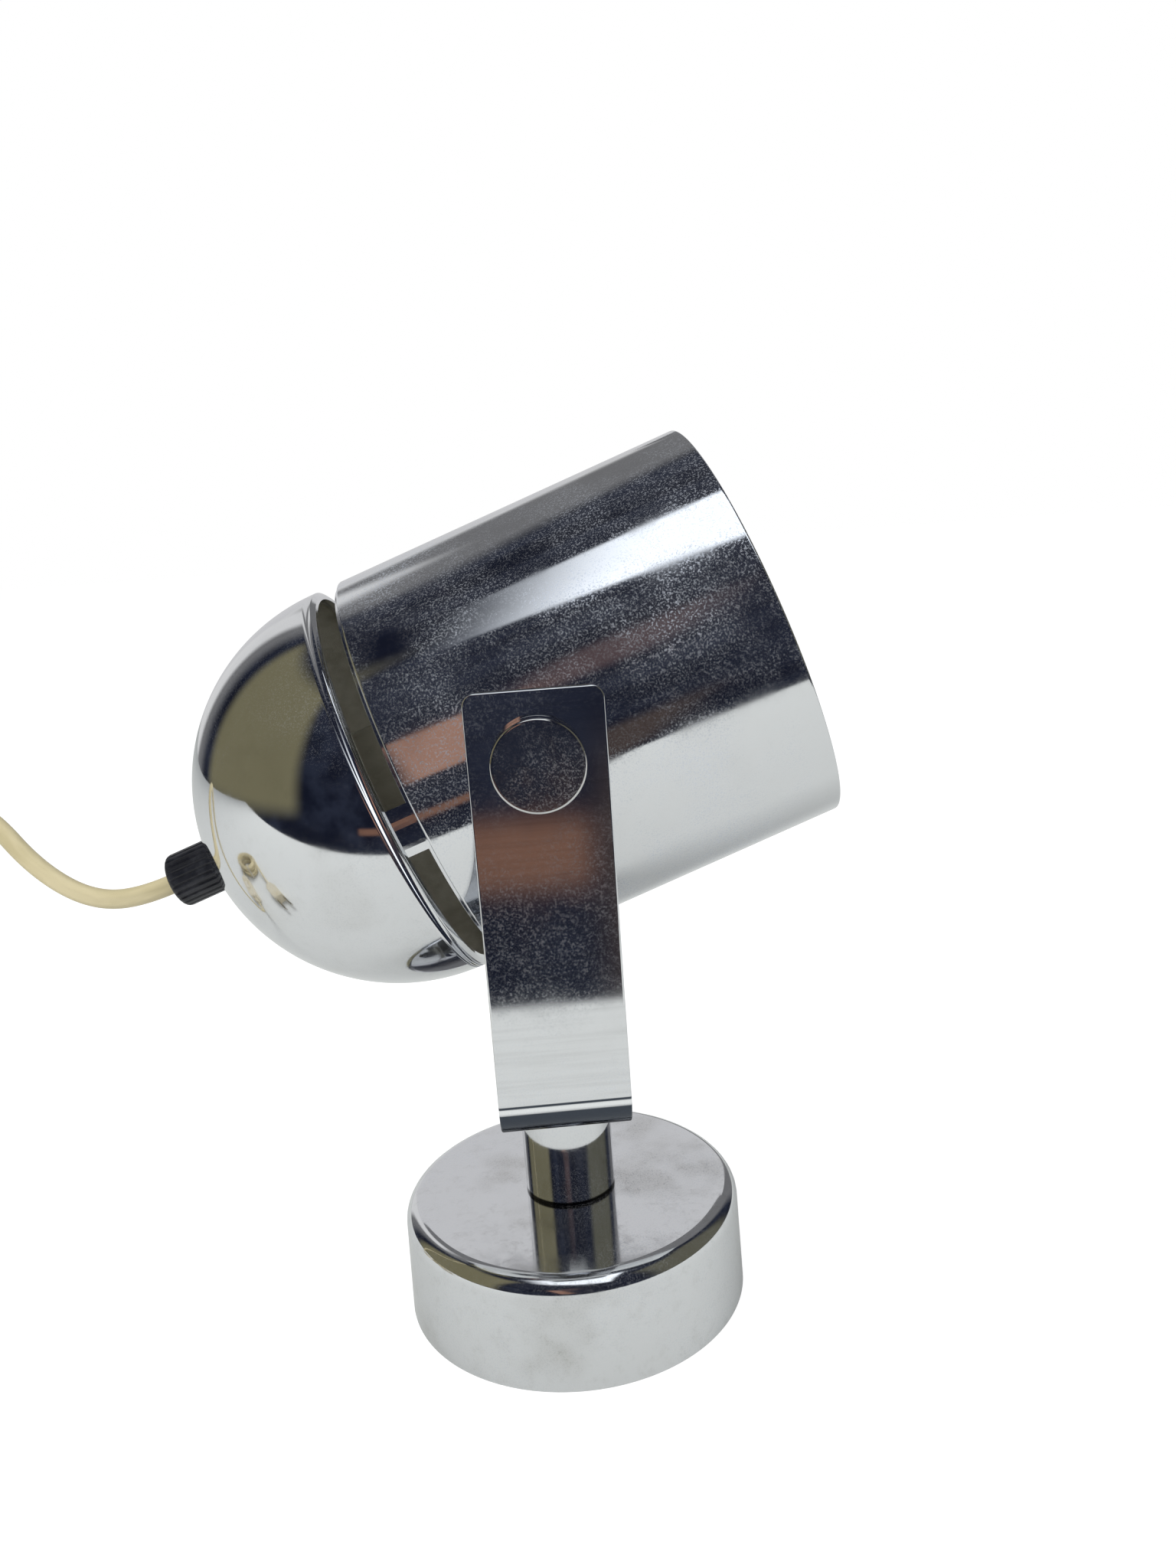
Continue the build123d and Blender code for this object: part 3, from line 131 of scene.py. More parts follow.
def cord_line(name, route, steps):
    """Points along the smooth spline that has the route's points as its control points."""
    curve = bpy.data.curves.new(name + "_route", "CURVE")
    curve.dimensions = "3D"
    curve.resolution_u = steps
    spline = curve.splines.new("NURBS")
    spline.points.add(len(route) - 1)
    spline.points.foreach_set("co", np.column_stack([np.asarray(route), np.ones(len(route))]).ravel())
    spline.order_u = 3
    spline.use_endpoint_u = True
    carrier = bpy.data.objects.new(name + "_route", curve)
    line = bpy.data.meshes.new_from_object(carrier)
    points = np.empty(3 * len(line.vertices))
    line.vertices.foreach_get("co", points)
    bpy.data.objects.remove(carrier)
    bpy.data.meshes.remove(line)
    return points.reshape(-1, 3)


def twin_cord(name, points, flat_start, flat_end, twist_end, material):
    """A tube with two rounded lobes, carried along the points.

    The outline at angle a is spread*|cos a| + sqrt(lobe^2 - (spread*sin a)^2) from the middle. Its thin side
    looks along flat_start at the first point and along flat_end at the last. Between them it is turned by
    twist_end and a slow wave, in radians, which both fade out over TWIST_FADES metres at the two ends."""
    steps = np.linalg.norm(np.diff(points, axis=0), axis=1)
    run = np.concatenate([[0], np.cumsum(steps)])
    share = (run / run[-1])[:, None]
    along = unit(np.gradient(points, axis=0))
    thin = np.asarray(flat_start) * (1 - share) + np.asarray(flat_end) * share
    thin = unit(thin - (thin * along).sum(1, keepdims=True) * along)
    wide = np.cross(along, thin)
    settled = np.clip(run / TWIST_FADES[0], 0, 1) * np.clip((run[-1] - run) / TWIST_FADES[1], 0, 1)
    twist = (twist_end * settled + TWIST_WAVE * settled * np.sin(run / TWIST_WAVE_RUN))[:, None]
    thin, wide = thin * np.cos(twist) + wide * np.sin(twist), wide * np.cos(twist) - thin * np.sin(twist)
    lobe = CORD_WIDTH / 2 - CORE_SPREAD
    angle = np.linspace(0, 2 * math.pi, CORD_SIDES, endpoint=False)
    out = CORE_SPREAD * np.abs(np.cos(angle)) + np.sqrt(lobe**2 - (CORE_SPREAD * np.sin(angle)) ** 2)
    sideways, upwards = (out * np.cos(angle))[:, None], (out * np.sin(angle))[:, None]
    ring = sideways * wide[:, None] + upwards * thin[:, None]
    places = (points[:, None] + ring).reshape(-1, 3)
    rows = len(points)
    faces = grid_faces(rows, CORD_SIDES)
    faces += [list(range(CORD_SIDES))[::-1], list(range((rows - 1) * CORD_SIDES, rows * CORD_SIDES))]
    piece = mesh_piece(name, places, faces, material)
    across_map = piece.data.uv_layers.new(name="UVMap")
    vertex = np.empty(len(piece.data.loops), int)
    piece.data.loops.foreach_get("vertex_index", vertex)
    across_map.data.foreach_set(
        "uv", np.column_stack([run[vertex // CORD_SIDES], vertex % CORD_SIDES / CORD_SIDES]).ravel()
    )
    return piece


def add_node(tree, kind, inputs=None, **settings):
    """Add a shader node; an input that is a socket becomes a link, and any other is its value."""
    made = tree.nodes.new(kind)
    for key, value in settings.items():
        setattr(made, key, value)
    for key, value in (inputs or {}).items():
        if isinstance(value, bpy.types.NodeSocket):
            tree.links.new(value, made.inputs[key])
        else:
            made.inputs[key].default_value = value
    return made


def grains(tree, place, scale, detail=2.0, rough=0.5, stretch=(1, 1, 1)):
    """Noise of so many lumps per metre, stretched by its scale along each axis."""
    mapped = add_node(tree, "ShaderNodeMapping", {"Vector": place, "Scale": stretch})
    values = {"Vector": mapped.outputs[0], "Scale": scale, "Detail": detail, "Roughness": rough}
    return add_node(tree, "ShaderNodeTexNoise", values).outputs[0]


def ramp(tree, value, low, high, start=0.0, end=1.0):
    """A smooth step from start to end as the value goes from low to high."""
    values = {"Value": value, "From Min": low, "From Max": high, "To Min": start, "To Max": end}
    return add_node(tree, "ShaderNodeMapRange", values, interpolation_type="SMOOTHSTEP").outputs[0]


def sums(tree, operation, first, second=0.0):
    """One step of arithmetic with one or two numbers."""
    return add_node(tree, "ShaderNodeMath", {0: first, 1: second}, operation=operation).outputs[0]


def times(tree, first, second):
    """The two numbers multiplied."""
    return sums(tree, "MULTIPLY", first, second)


def shades(tree, share, first, second):
    """The first colour changing to the second with the share."""
    return add_node(tree, "ShaderNodeMix", {0: share, 6: first, 7: second}, data_type="RGBA").outputs[2]


def new_finish(name, **values):
    """A material with one Principled shader, whose plain values are set on its own sockets."""
    material = bpy.data.materials.new(name)
    material.use_nodes = True
    shader = material.node_tree.nodes["Principled BSDF"]
    for key, value in values.items():
        shader.inputs[key.replace("_", " ")].default_value = value
    return material, material.node_tree, shader


def object_place(tree):
    """The place on the lamp, in metres."""
    return add_node(tree, "ShaderNodeTexCoord").outputs["Object"]


def axes(tree, place):
    """The three numbers of a place or a direction."""
    return add_node(tree, "ShaderNodeSeparateXYZ", {0: place}).outputs


def bumps(tree, shader, height, distance, strength=1.0):
    """Raise the surface by the height, times the distance in metres."""
    values = {"Height": height, "Distance": distance, "Strength": strength}
    made = add_node(tree, "ShaderNodeBump", values)
    tree.links.new(made.outputs[0], shader.inputs["Normal"])


def vinyl(name, colour, shade, laid="UV"):
    """Soft cream vinyl that has yellowed in patches, laid along the flex or on any other piece.

    VINYL_GRAIN holds its patches and its specks per metre. The flex's map goes once round on its second
    axis."""
    material, tree, shader = new_finish(name, IOR=1.48)
    place = add_node(tree, "ShaderNodeTexCoord").outputs[laid]
    patches_per_metre, specks_per_metre = VINYL_GRAIN[laid]
    along = grains(tree, place, 1.0, 3.0, 0.6, patches_per_metre)
    specks = grains(tree, place, 1.0, 2.0, 0.6, specks_per_metre)
    tone = shades(tree, ramp(tree, along, 0.35, 0.7), colour, shade)
    marked = shades(tree, ramp(tree, specks, 0.66, 0.8, 0, 0.35), tone, (0.30, 0.25, 0.15, 1))
    tree.links.new(marked, shader.inputs["Base Color"])
    tree.links.new(ramp(tree, along, 0.2, 0.8, 0.32, 0.5), shader.inputs["Roughness"])
    bumps(tree, shader, specks, 0.00004, 0.6)
    return material


cord_vinyl = vinyl("cord_vinyl", (0.64, 0.56, 0.35, 1), (0.52, 0.45, 0.26, 1))
head_points = cord_line("head_cord", HEAD_CORD_ROUTE, steps=16)
head_cord = twin_cord(
    "flex_head", head_points, flat_start=(0, 1, 0), flat_end=(0, 0, 1), twist_end=0.15, material=cord_vinyl
)
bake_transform(head_cord)
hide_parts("head_cord")

# Flex past the switch: it lies down to the table and is put away as a neat round coil of eight and a half
# turns in four layers, and its end comes down off the top layer into the plug.
SWITCH_CORD_ROUTE = [
    (-0.254, 0.033, 0.0065), (-0.2635, 0.033, 0.0065), (-0.275, 0.033, 0.0032), (-0.2845, 0.033, 0.0032),
]
PLUG_CORD_ROUTE = [
    (-0.2845, -0.03245, 0.0179), (-0.2715, -0.03245, 0.0179), (-0.247, -0.03245, 0.0068),
    (-0.234, -0.03245, 0.0068),
]
COIL_MIDDLE = (-0.2889, 0.0015)
COIL_OUTER_TURN = 0.0315
COIL_PITCH = 0.0049
COIL_FIRST_LAYER = 0.0032
COIL_TURNS, LAYERS, TURNS_PER_LAYER, CLIMB_TURNS = 8.5, 4, 2, 0.5
POINTS_PER_TURN = 16


def coil_places():
    """Places along the coil, which winds two turns inwards and two outwards, and climbs a layer at each end.

    inside counts the turns from the outer one. The radius is divided by cos(pi / points per turn), because
    the spline runs that much inside its control points. A climb takes half a turn, and the last half turn
    goes outwards on the top layer."""
    turns = (np.arange(int(COIL_TURNS * POINTS_PER_TURN)) + 0.5) / POINTS_PER_TURN
    wave = turns % (2 * TURNS_PER_LAYER)
    inside = np.minimum(wave, 2 * TURNS_PER_LAYER - wave)
    inside = np.where(turns > LAYERS * TURNS_PER_LAYER, LAYERS * TURNS_PER_LAYER - turns, inside)
    radius = (COIL_OUTER_TURN - COIL_PITCH * inside) / math.cos(math.pi / POINTS_PER_TURN)
    climbs = TURNS_PER_LAYER * np.arange(1, LAYERS)
    layer = sum(np.clip((turns - climb) / CLIMB_TURNS + 0.5, 0, 1) for climb in climbs)
    angle = math.pi / 2 + 2 * math.pi * turns
    return np.column_stack([
        COIL_MIDDLE[0] + radius * np.cos(angle),
        COIL_MIDDLE[1] + radius * np.sin(angle),
        COIL_FIRST_LAYER + COIL_PITCH * layer,
    ])


lead_points = cord_line("lead", np.vstack([SWITCH_CORD_ROUTE, coil_places(), PLUG_CORD_ROUTE]), steps=10)
lead = twin_cord(
    "flex_lead", lead_points, flat_start=(0, 0, 1), flat_end=(0, 0, 1), twist_end=0.8, material=cord_vinyl
)
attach(lead, "bracket")
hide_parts("switch_cord", "cord_coil", "plug_cord")

# Base: a heavy round foot under a spun cup of chromed sheet, a little narrower at the top, with a soft
# rolled edge. It is handled a lot, so it has fingermarks and fine rubbing.
BASE_CUP = [(0, 40.0), (25.7, 39.4), (25.7, 4.1), (24.5, 4.1), (24.5, 38.2), (0, 38.8)]
BASE_CUP_ROUNDS = [0.25, 4.0, 0.2, 0.2, 2.8, 0.25]
UPRIGHT = ((0, 0, 0), (0, 0, 1))
DUST_CLOUDS, DUST_SPECKS = 36.0, 2600.0
FINGERMARKS, STAIN_SPOTS, STAIN_FLECKS = 60.0, 38.0, 330.0
PLATE_WAVES = 30.0


def rounded(outline, rounds, closed=True, steps=8):
    """The outline with each corner replaced by an arc of its radius.

    The arc's points are worked out from the corner, the two directions away from it and the half turn, and
    a point just past each end of the arc keeps the straight parts flat when they are shaded smooth."""
    outline = np.asarray(outline, float)
    path = []
    for at, (corner, size) in enumerate(zip(outline, rounds)):
        if size == 0 or (not closed and at in (0, len(outline) - 1)):
            path.append(corner[None])
            continue
        back = outline[at - 1] - corner
        on = outline[(at + 1) % len(outline)] - corner
        back_length, on_length = np.linalg.norm(back), np.linalg.norm(on)
        back, on = back / back_length, on / on_length
        half = math.acos(np.clip(back @ on, -1, 1)) / 2
        reach = min(size / math.tan(half), 0.49 * back_length, 0.49 * on_length)
        size = reach * math.tan(half)
        middle = corner + unit((back + on)[None])[0] * size / math.sin(half)
        start, end = corner + back * reach - middle, corner + on * reach - middle
        turn = math.acos(np.clip(start @ end / size**2, -1, 1))
        share = np.linspace(0, 1, steps + 1)[:, None]
        arc = middle + (np.sin((1 - share) * turn) * start + np.sin(share * turn) * end) / math.sin(turn)
        edge = min(0.2 * size, 0.1)
        before = corner + back * min(reach + edge, 0.495 * back_length)
        after = corner + on * min(reach + edge, 0.495 * on_length)
        path += [before[None], arc, after[None]]
    return np.vstack(path)


def turned(name, outline, axis, material, sides=160, ripple=None):
    """A surface turned about an axis from an outline of (along, out) in millimetres.

    Each place is origin + along*axis + out*(cos a * side + sin a * other). An outline that starts and ends
    on the axis is closed there by one point, and any other outline is a closed ring. ripple gives a change
    of out from along and a."""
    origin, line = np.asarray(axis[0], float), unit(np.asarray([axis[1]], float))[0]
    side = np.array([0, 1.0, 0]) if abs(line[1]) < 0.5 else np.array([0, 0, 1.0])
    other = np.cross(line, side)
    outline = np.asarray(outline, float)
    poles = outline[0, 1] < 1e-9 and outline[-1, 1] < 1e-9
    ends = outline[[0, -1], 0] if poles else []
    body = outline[1:-1] if poles else outline
    angle = np.linspace(0, 2 * math.pi, sides, endpoint=False)
    along, out = np.broadcast_to(body[:, :1], (len(body), sides)), np.repeat(body[:, 1:], sides, axis=1)
    if ripple:
        out = out + ripple(along, angle[None, :])
    around = np.cos(angle)[None, :, None] * side + np.sin(angle)[None, :, None] * other
    places = (origin + 0.001 * (along[..., None] * line + out[..., None] * around)).reshape(-1, 3)
    faces = grid_faces(len(body), sides, closed=not poles)
    if poles:
        places = np.vstack([places, origin + 0.001 * ends[0] * line, origin + 0.001 * ends[1] * line])
        here = np.arange(sides)
        beside, top = (here + 1) % sides, (len(body) - 1) * sides
        faces += np.column_stack([beside, here, np.full(sides, len(places) - 2)]).tolist()
        faces += np.column_stack([top + here, top + beside, np.full(sides, len(places) - 1)]).tolist()
    return mesh_piece(name, places, faces, material)


def plated(name, dust, smudge, stain, offset, tint=(0.80, 0.81, 0.83, 1)):
    """Chrome plate with what lies on it, each at so many lumps per metre.

    dust is the share of fine pale specks in their cloudy patches, smudge the spread of fingermarks that blur
    the plate, and stain the depth of its dull brown spots. offset moves the pattern to a place of its own."""
    material, tree, shader = new_finish(name, Metallic=1.0)
    place = add_node(tree, "ShaderNodeMapping", {"Vector": object_place(tree), "Location": offset}).outputs[0]
    clouds = ramp(tree, grains(tree, place, DUST_CLOUDS, 5.0, 0.65), 0.33, 0.68)
    fine = ramp(tree, grains(tree, place, DUST_SPECKS, 2.0, 0.7), 0.50, 0.64)
    pale = times(tree, clouds, sums(tree, "ADD", times(tree, fine, dust), 0.08 * dust))
    prints = ramp(tree, grains(tree, place, FINGERMARKS, 4.0, 0.65), 0.40, 0.75)
    flecks = ramp(tree, grains(tree, place, STAIN_FLECKS, 3.0, 0.7), 0.48, 0.74, 0, 0.3)
    spots = ramp(tree, grains(tree, place, STAIN_SPOTS, 3.0, 0.55), 0.50, 0.72, 0, 0.8)
    spots = times(tree, sums(tree, "ADD", spots, flecks), ramp(tree, fine, 0, 1, 0.6, 1))
    spots = times(tree, spots, stain)
    rough = sums(tree, "ADD", times(tree, prints, smudge), 0.04)
    rough = sums(tree, "ADD", rough, times(tree, sums(tree, "ADD", pale, spots), 0.35))
    worn = shades(tree, spots, tint, (0.30, 0.28, 0.24, 1))
    tree.links.new(shades(tree, pale, worn, (0.58, 0.66, 0.80, 1)), shader.inputs["Base Color"])
    tree.links.new(sums(tree, "SUBTRACT", 1.0, times(tree, pale, 0.55)), shader.inputs["Metallic"])
    tree.links.new(rough, shader.inputs["Roughness"])
    bumps(tree, shader, grains(tree, place, PLATE_WAVES, 1.0, 0.5), 0.00004)
    return material


base_plating = plated("base_plating", dust=0.15, smudge=0.10, stain=0.55, offset=(0.3, 0.1, 0.2))
base_cup = turned("base_cup", rounded(BASE_CUP, BASE_CUP_ROUNDS), UPRIGHT, base_plating, sides=192)
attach(base_cup, "base")
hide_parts("base_cover")

# Inside the base: a zinc-plated plate closes the cup, a cast disc above it gives the weight, and a screw
# comes up through the plate, the disc and a spacer into the stem.
METAL_PATCHES, METAL_GRAIN = 130.0, 1800.0


def metal(name, colour, dull, rough, grain=0.00001):
    """Bare or zinc-plated metal that has dulled in patches, with a fine grain of its own."""
    material, tree, shader = new_finish(name, Metallic=1.0)
    place = object_place(tree)
    patches = grains(tree, place, METAL_PATCHES, 4.0, 0.6)
    fine = grains(tree, place, METAL_GRAIN, 2.0, 0.6)
    tone = shades(tree, ramp(tree, patches, 0.35, 0.72), colour, dull)
    tree.links.new(tone, shader.inputs["Base Color"])
    tree.links.new(ramp(tree, patches, 0.25, 0.8, rough, rough + 0.18), shader.inputs["Roughness"])
    bumps(tree, shader, fine, grain)
    return material


def grained(name, tints, tones, rough, noise, bump=None, ior=1.5):
    """Moulding, casting or glass: one noise sets its colour, its roughness and its bumps.

    noise is lumps per metre, detail, roughness and stretch; tones and rough are the numbers of two ramps, and
    bump is its height in metres and its strength."""
    material, tree, shader = new_finish(name, IOR=ior)
    lumps = grains(tree, object_place(tree), *noise)
    tree.links.new(shades(tree, ramp(tree, lumps, *tones), *tints), shader.inputs["Base Color"])
    tree.links.new(ramp(tree, lumps, *rough), shader.inputs["Roughness"])
    if bump:
        bumps(tree, shader, lumps, *bump)
    return material


def dress(material, *names):
    """Give CAD nodes one finish."""
    for name in names:
        for place in nodes[name].material_slots:
            place.material = material


zinc_plating = metal("zinc_plating", (0.50, 0.50, 0.47, 1), (0.34, 0.33, 0.29, 1), 0.28)
dress(zinc_plating, "base_plate", "base_spacer", "base_stud")
casting = grained(
    "casting", tints=((0.025, 0.025, 0.028, 1), (0.085, 0.075, 0.068, 1)), tones=(0.3, 0.7),
    rough=(0.3, 0.7, 0.55, 0.8), noise=(420.0, 4.0, 0.7), bump=(0.0004, 1.0),
)
dress(casting, "ballast_disc")

# Stem: a short post turned from bar and chromed, with a small broken edge at each end. The base's screw
# comes up into it and the swivel screw goes into its top. Its colour is painted dark in a thin line at its
# foot, where it meets the base.
STEM = [
    (39.9, 0), (39.9, 4.1), (25.7, 4.1), (25.7, 10.6), (62.5, 10.6), (62.5, 3.06), (50.4, 3.06), (50.4, 0),
]
STEM_ROUNDS = [0, 0.2, 0.2, 0.1, 0.5, 0.3, 0.2, 0]
STEM_FOOT_DARK_LINE = (0.0263, 0.0268)


def colour_so_far(material):
    """The tree and the shader of a finish that is to be marked further, and the colour that it has."""
    shader = material.node_tree.nodes["Principled BSDF"]
    return material.node_tree, shader, shader.inputs["Base Color"].links[0].from_socket


stem_plating = plated("stem_plating", dust=0.15, smudge=0.04, stain=0.2, offset=(0.7, 0.2, 0.5))
tree, shader, clean = colour_so_far(stem_plating)
# A thin line at the stem's foot is painted dark, fading out upwards.
foot = ramp(tree, axes(tree, object_place(tree))[2], *STEM_FOOT_DARK_LINE, 1, 0)
tree.links.new(shades(tree, foot, clean, (0.03, 0.03, 0.035, 1)), shader.inputs["Base Color"])
stem = turned("stem", rounded(STEM, STEM_ROUNDS, closed=False), UPRIGHT, stem_plating, sides=128)
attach(stem, "base")
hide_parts("stem_post")

# Swivel: the strap's foot turns on a red fibre washer, under a spring washer and the flat head of a slotted
# screw that goes down into the stem.
fibre = grained(
    "fibre", tints=((0.15, 0.030, 0.020, 1), (0.26, 0.075, 0.045, 1)), tones=(0.3, 0.7),
    rough=(0.3, 0.7, 0.5, 0.72), noise=(700.0, 4.0, 0.7, (1, 1, 3)), bump=(0.00006, 1.0),
)
dress(fibre, "swivel_washer")
spring_steel = metal("spring_steel", (0.36, 0.36, 0.37, 1), (0.22, 0.21, 0.20, 1), 0.26)
dress(spring_steel, "swivel_spring_washer")
nickel = metal("nickel", (0.66, 0.63, 0.57, 1), (0.50, 0.46, 0.40, 1), 0.14)
dress(nickel, "swivel_screw")

# Strap bracket: one flat strap, bent to a foot over the stem, with rounded corners and broken edges. It was
# ground before plating, so fine lines run across it. Along its bend a reflection is painted into the colour:
# a dark line, a bright painted highlight line and a slate band, where the bend mirrors the room.
STRAP_MIDDLE_Y = -48.8
STRAP_TOP_Z = 151.3
STRAP_FOOT_Z = 64.3
STRAP_FOOT_END_Y = 12.4
STRAP_BEND = 7.2
STRAP_WIDTH = 25.6
STRAP_THICKNESS = 2.0
STRAP_EDGE = 0.35
STRAP_TOP_CORNER = 2.5
STRAP_FOOT_CORNER = 6.0
ARM_ROWS, BEND_ROWS, FOOT_ROWS, ROW_GAP = 30, 25, 20, 0.3
LEAST_HALF_THICKNESS = 0.02
BEND_BACK = (-0.0425, -0.0415)
# Heights in metres of the reflection painted on the bend: a dark line, a bright highlight line, a slate band,
# and the slate colour.
PAINTED_DARK_REFLECTION_LINE = (0.0710, 0.0712, 0.0715, 0.0717)
PAINTED_HIGHLIGHT_LINE = (0.0700, 0.0703, 0.0708, 0.0711)
PAINTED_SLATE_REFLECTION_BAND = (0.0696, 0.0700)
PAINTED_SLATE_REFLECTION = (0.065, 0.075, 0.095, 1)
GRINDING_LINES = (1100.0, 2.0, 0.6, (0.03, 1, 1))


def corner_rows(size, first, steps=14):
    """Distances from an end, close together near it, out to the corner's size."""
    near = first * np.array([0, 0.1, 0.35, 0.7, 1.0])
    return np.concatenate([near, first + (size - first) * np.linspace(0, 1, steps)[1:] ** 1.5])


def bent_strap(name, material):
    """A flat section carried down the arm, round the bend and along the foot.

    The half width w at distance d from an end with corner radius c is W/2 - c + sqrt(c^2 - (c-d)^2) where
    d < c, and the edge radius e draws the half thickness in the same way where d < e."""
    arm = STRAP_TOP_Z - STRAP_FOOT_Z - STRAP_BEND
    foot = STRAP_FOOT_END_Y - STRAP_MIDDLE_Y - STRAP_BEND
    curve = STRAP_BEND * math.pi / 2
    length = arm + curve + foot
    top = corner_rows(STRAP_TOP_CORNER, STRAP_EDGE)
    end = corner_rows(STRAP_FOOT_CORNER, STRAP_EDGE)
    arm_rows = np.linspace(STRAP_TOP_CORNER + ROW_GAP, arm - ROW_GAP, ARM_ROWS)
    bend_rows = arm + np.linspace(0, curve, BEND_ROWS)
    foot_rows = np.linspace(arm + curve + ROW_GAP, length - STRAP_FOOT_CORNER - ROW_GAP, FOOT_ROWS)
    run = np.concatenate([top, arm_rows, bend_rows, foot_rows, (length - end)[::-1]])
    turn = np.clip((run - arm) / STRAP_BEND, 0, math.pi / 2)
    past = np.clip(run - arm - curve, 0, None)
    y = STRAP_MIDDLE_Y + STRAP_BEND * (1 - np.cos(turn)) + past
    z = STRAP_TOP_Z - np.minimum(run, arm) - STRAP_BEND * np.sin(turn)
    normal = np.column_stack([np.zeros_like(run), -np.cos(turn), -np.sin(turn)])
    half = np.full_like(run, STRAP_WIDTH / 2)
    for near, size in ((run, STRAP_TOP_CORNER), (length - run, STRAP_FOOT_CORNER)):
        gap = np.clip(size - near, 0, None)
        half = half - size + np.sqrt(np.clip(size**2 - gap**2, 0, None))
    near = np.minimum(run, length - run)
    draw = STRAP_EDGE - np.sqrt(np.clip(STRAP_EDGE**2 - np.clip(STRAP_EDGE - near, 0, None) ** 2, 0, None))
    corner = np.array([(1, 1), (1, -1), (-1, -1), (-1, 1)])
    section = rounded(corner * (STRAP_WIDTH / 2, STRAP_THICKNESS / 2), [STRAP_EDGE] * 4, steps=5)
    order = np.argsort(-np.arctan2(section[:, 1] * STRAP_WIDTH / STRAP_THICKNESS, section[:, 0]))
    section = section[order]
    side, face = np.sign(section).T
    inset = section - np.sign(section) * (STRAP_WIDTH / 2, STRAP_THICKNESS / 2)
    across = side * half[:, None] + inset[:, 0]
    out = face * (STRAP_THICKNESS / 2 - draw[:, None]) + inset[:, 1]
    out = face * np.maximum(face * out, LEAST_HALF_THICKNESS)
    centre = np.column_stack([np.zeros_like(run), y, z])
    places = centre[:, None] + across[..., None] * np.array([1.0, 0, 0]) + out[..., None] * normal[:, None]
    columns = len(section)
    faces = grid_faces(len(run), columns)
    faces += [list(range(columns)), list(range(len(run) * columns - 1, (len(run) - 1) * columns - 1, -1))]
    return mesh_piece(name, 0.001 * places.reshape(-1, 3), faces, material)


def between(tree, value, start, full, fading, end):
    """1 from full to fading, with a smooth step up from start and down to end."""
    return times(tree, ramp(tree, value, start, full), ramp(tree, value, fading, end, 1, 0))


strap_plating = plated("strap_plating", dust=0.16, smudge=0.05, stain=0.12, offset=(0.1, 0.6, 0.4))
tree, shader, clean = colour_so_far(strap_plating)
_, along_y, along_z = axes(tree, object_place(tree))
ground = ramp(tree, grains(tree, object_place(tree), *GRINDING_LINES), 0.4, 0.75, 0, 0.16)
ground_lines_and_highlight = shades(tree, ground, clean, (0.36, 0.36, 0.36, 1))
# Painted reflection on the bend: a highlight line lightens the colour, and a dark line and a slate band
# darken it.
on_bend = ramp(tree, along_y, *BEND_BACK, 1, 0)
painted_highlight = times(tree, between(tree, along_z, *PAINTED_HIGHLIGHT_LINE), on_bend)
painted_reflection = sums(tree, "MAXIMUM", ramp(tree, along_z, *PAINTED_SLATE_REFLECTION_BAND, 1, 0), between(tree, along_z, *PAINTED_DARK_REFLECTION_LINE))
painted_reflection = times(tree, painted_reflection, on_bend)
ground_lines_and_highlight = shades(tree, painted_highlight, ground_lines_and_highlight, (0.97, 0.98, 1.0, 1))
tree.links.new(shades(tree, painted_reflection, ground_lines_and_highlight, PAINTED_SLATE_REFLECTION), shader.inputs["Base Color"])
strap = bent_strap("strap", strap_plating)
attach(strap, "bracket")
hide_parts("strap_bracket")

# Shade: a drawn tube of thin chromed sheet, with a small bead rolled round its rear edge and a turned-in
# front rim. Inside it is satin, so that it spreads the bulb's light.
TILT = math.radians(20)
HEAD_AXIS = ((0, 0, 0.1379), (math.cos(TILT), 0, math.sin(TILT)))
SHADE = [(-25.1, 44.4), (52.1, 44.4), (52.1, 43.5), (-25.1, 43.5)]
SHADE_ROUNDS = [0.8, 0.42, 0.4, 0.1]
HEAD_SIDES = 256
SHEET_MARGIN = 0.01


def line_inside(piece, rows, material):
    """Give a second finish to the faces between each marked row of places and the next one, if marked too."""
    piece.data.materials.append(material)
    both = rows & np.roll(rows, -1)
    piece.data.polygons.foreach_set("material_index", np.repeat(both.astype(int), HEAD_SIDES))


shade_plating = plated("shade_plating", dust=0.5, smudge=0.10, stain=0.12, offset=(0.4, 0.3, 0.9))
satin_plating = metal("satin_plating", (0.70, 0.70, 0.68, 1), (0.60, 0.59, 0.56, 1), 0.34, 0.00002)
shade_outline = rounded(SHADE, SHADE_ROUNDS)
shade = turned("shade", shade_outline, HEAD_AXIS, shade_plating, HEAD_SIDES)
line_inside(shade, shade_outline[:, 1] < SHADE[2][1] + SHEET_MARGIN, satin_plating)
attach(shade, "head")
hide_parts("shade_cylinder")

# Dome: a spun half ball with a short lip, chromed outside and dull steel inside. It steps in to a neck that
# pushes into the shade, and three long vent slots through the neck leave three bridges between them.
DOME_CENTRE = -31.8
DOME_OUT = 44.4
DOME_IN = 43.5
DOME_STEPS_IN, DOME_STEPS_OUT = 60, 80
ENTRY_HOLE = 5.0
NECK_OUT, NECK_IN = 43.4, 42.5
NECK_STEP = [(-30.7, DOME_OUT), (-30.0, NECK_OUT), (-30.0, NECK_IN), (-31.8, 42.6)]
NECK_RING = [(-25.8, NECK_OUT), (-17.1, NECK_OUT), (-17.1, NECK_IN), (-25.8, NECK_IN)]
SLOT_FROM, SLOT_TO = -30.2, -25.6
BRIDGE_STEPS, BRIDGE_HALF = 13, math.radians(6.5)
BRIDGE_PLACES = [math.radians(-3.5), math.radians(116.5), math.radians(236.5)]


def ball(radius, steps):
    """Half a circle's points about the dome's centre, from the lip to the entry hole, or back."""
    last = math.acos(ENTRY_HOLE / radius)
    swing = np.linspace(0, last, steps)
    return np.column_stack([DOME_CENTRE - radius * np.sin(swing), radius * np.cos(swing)])


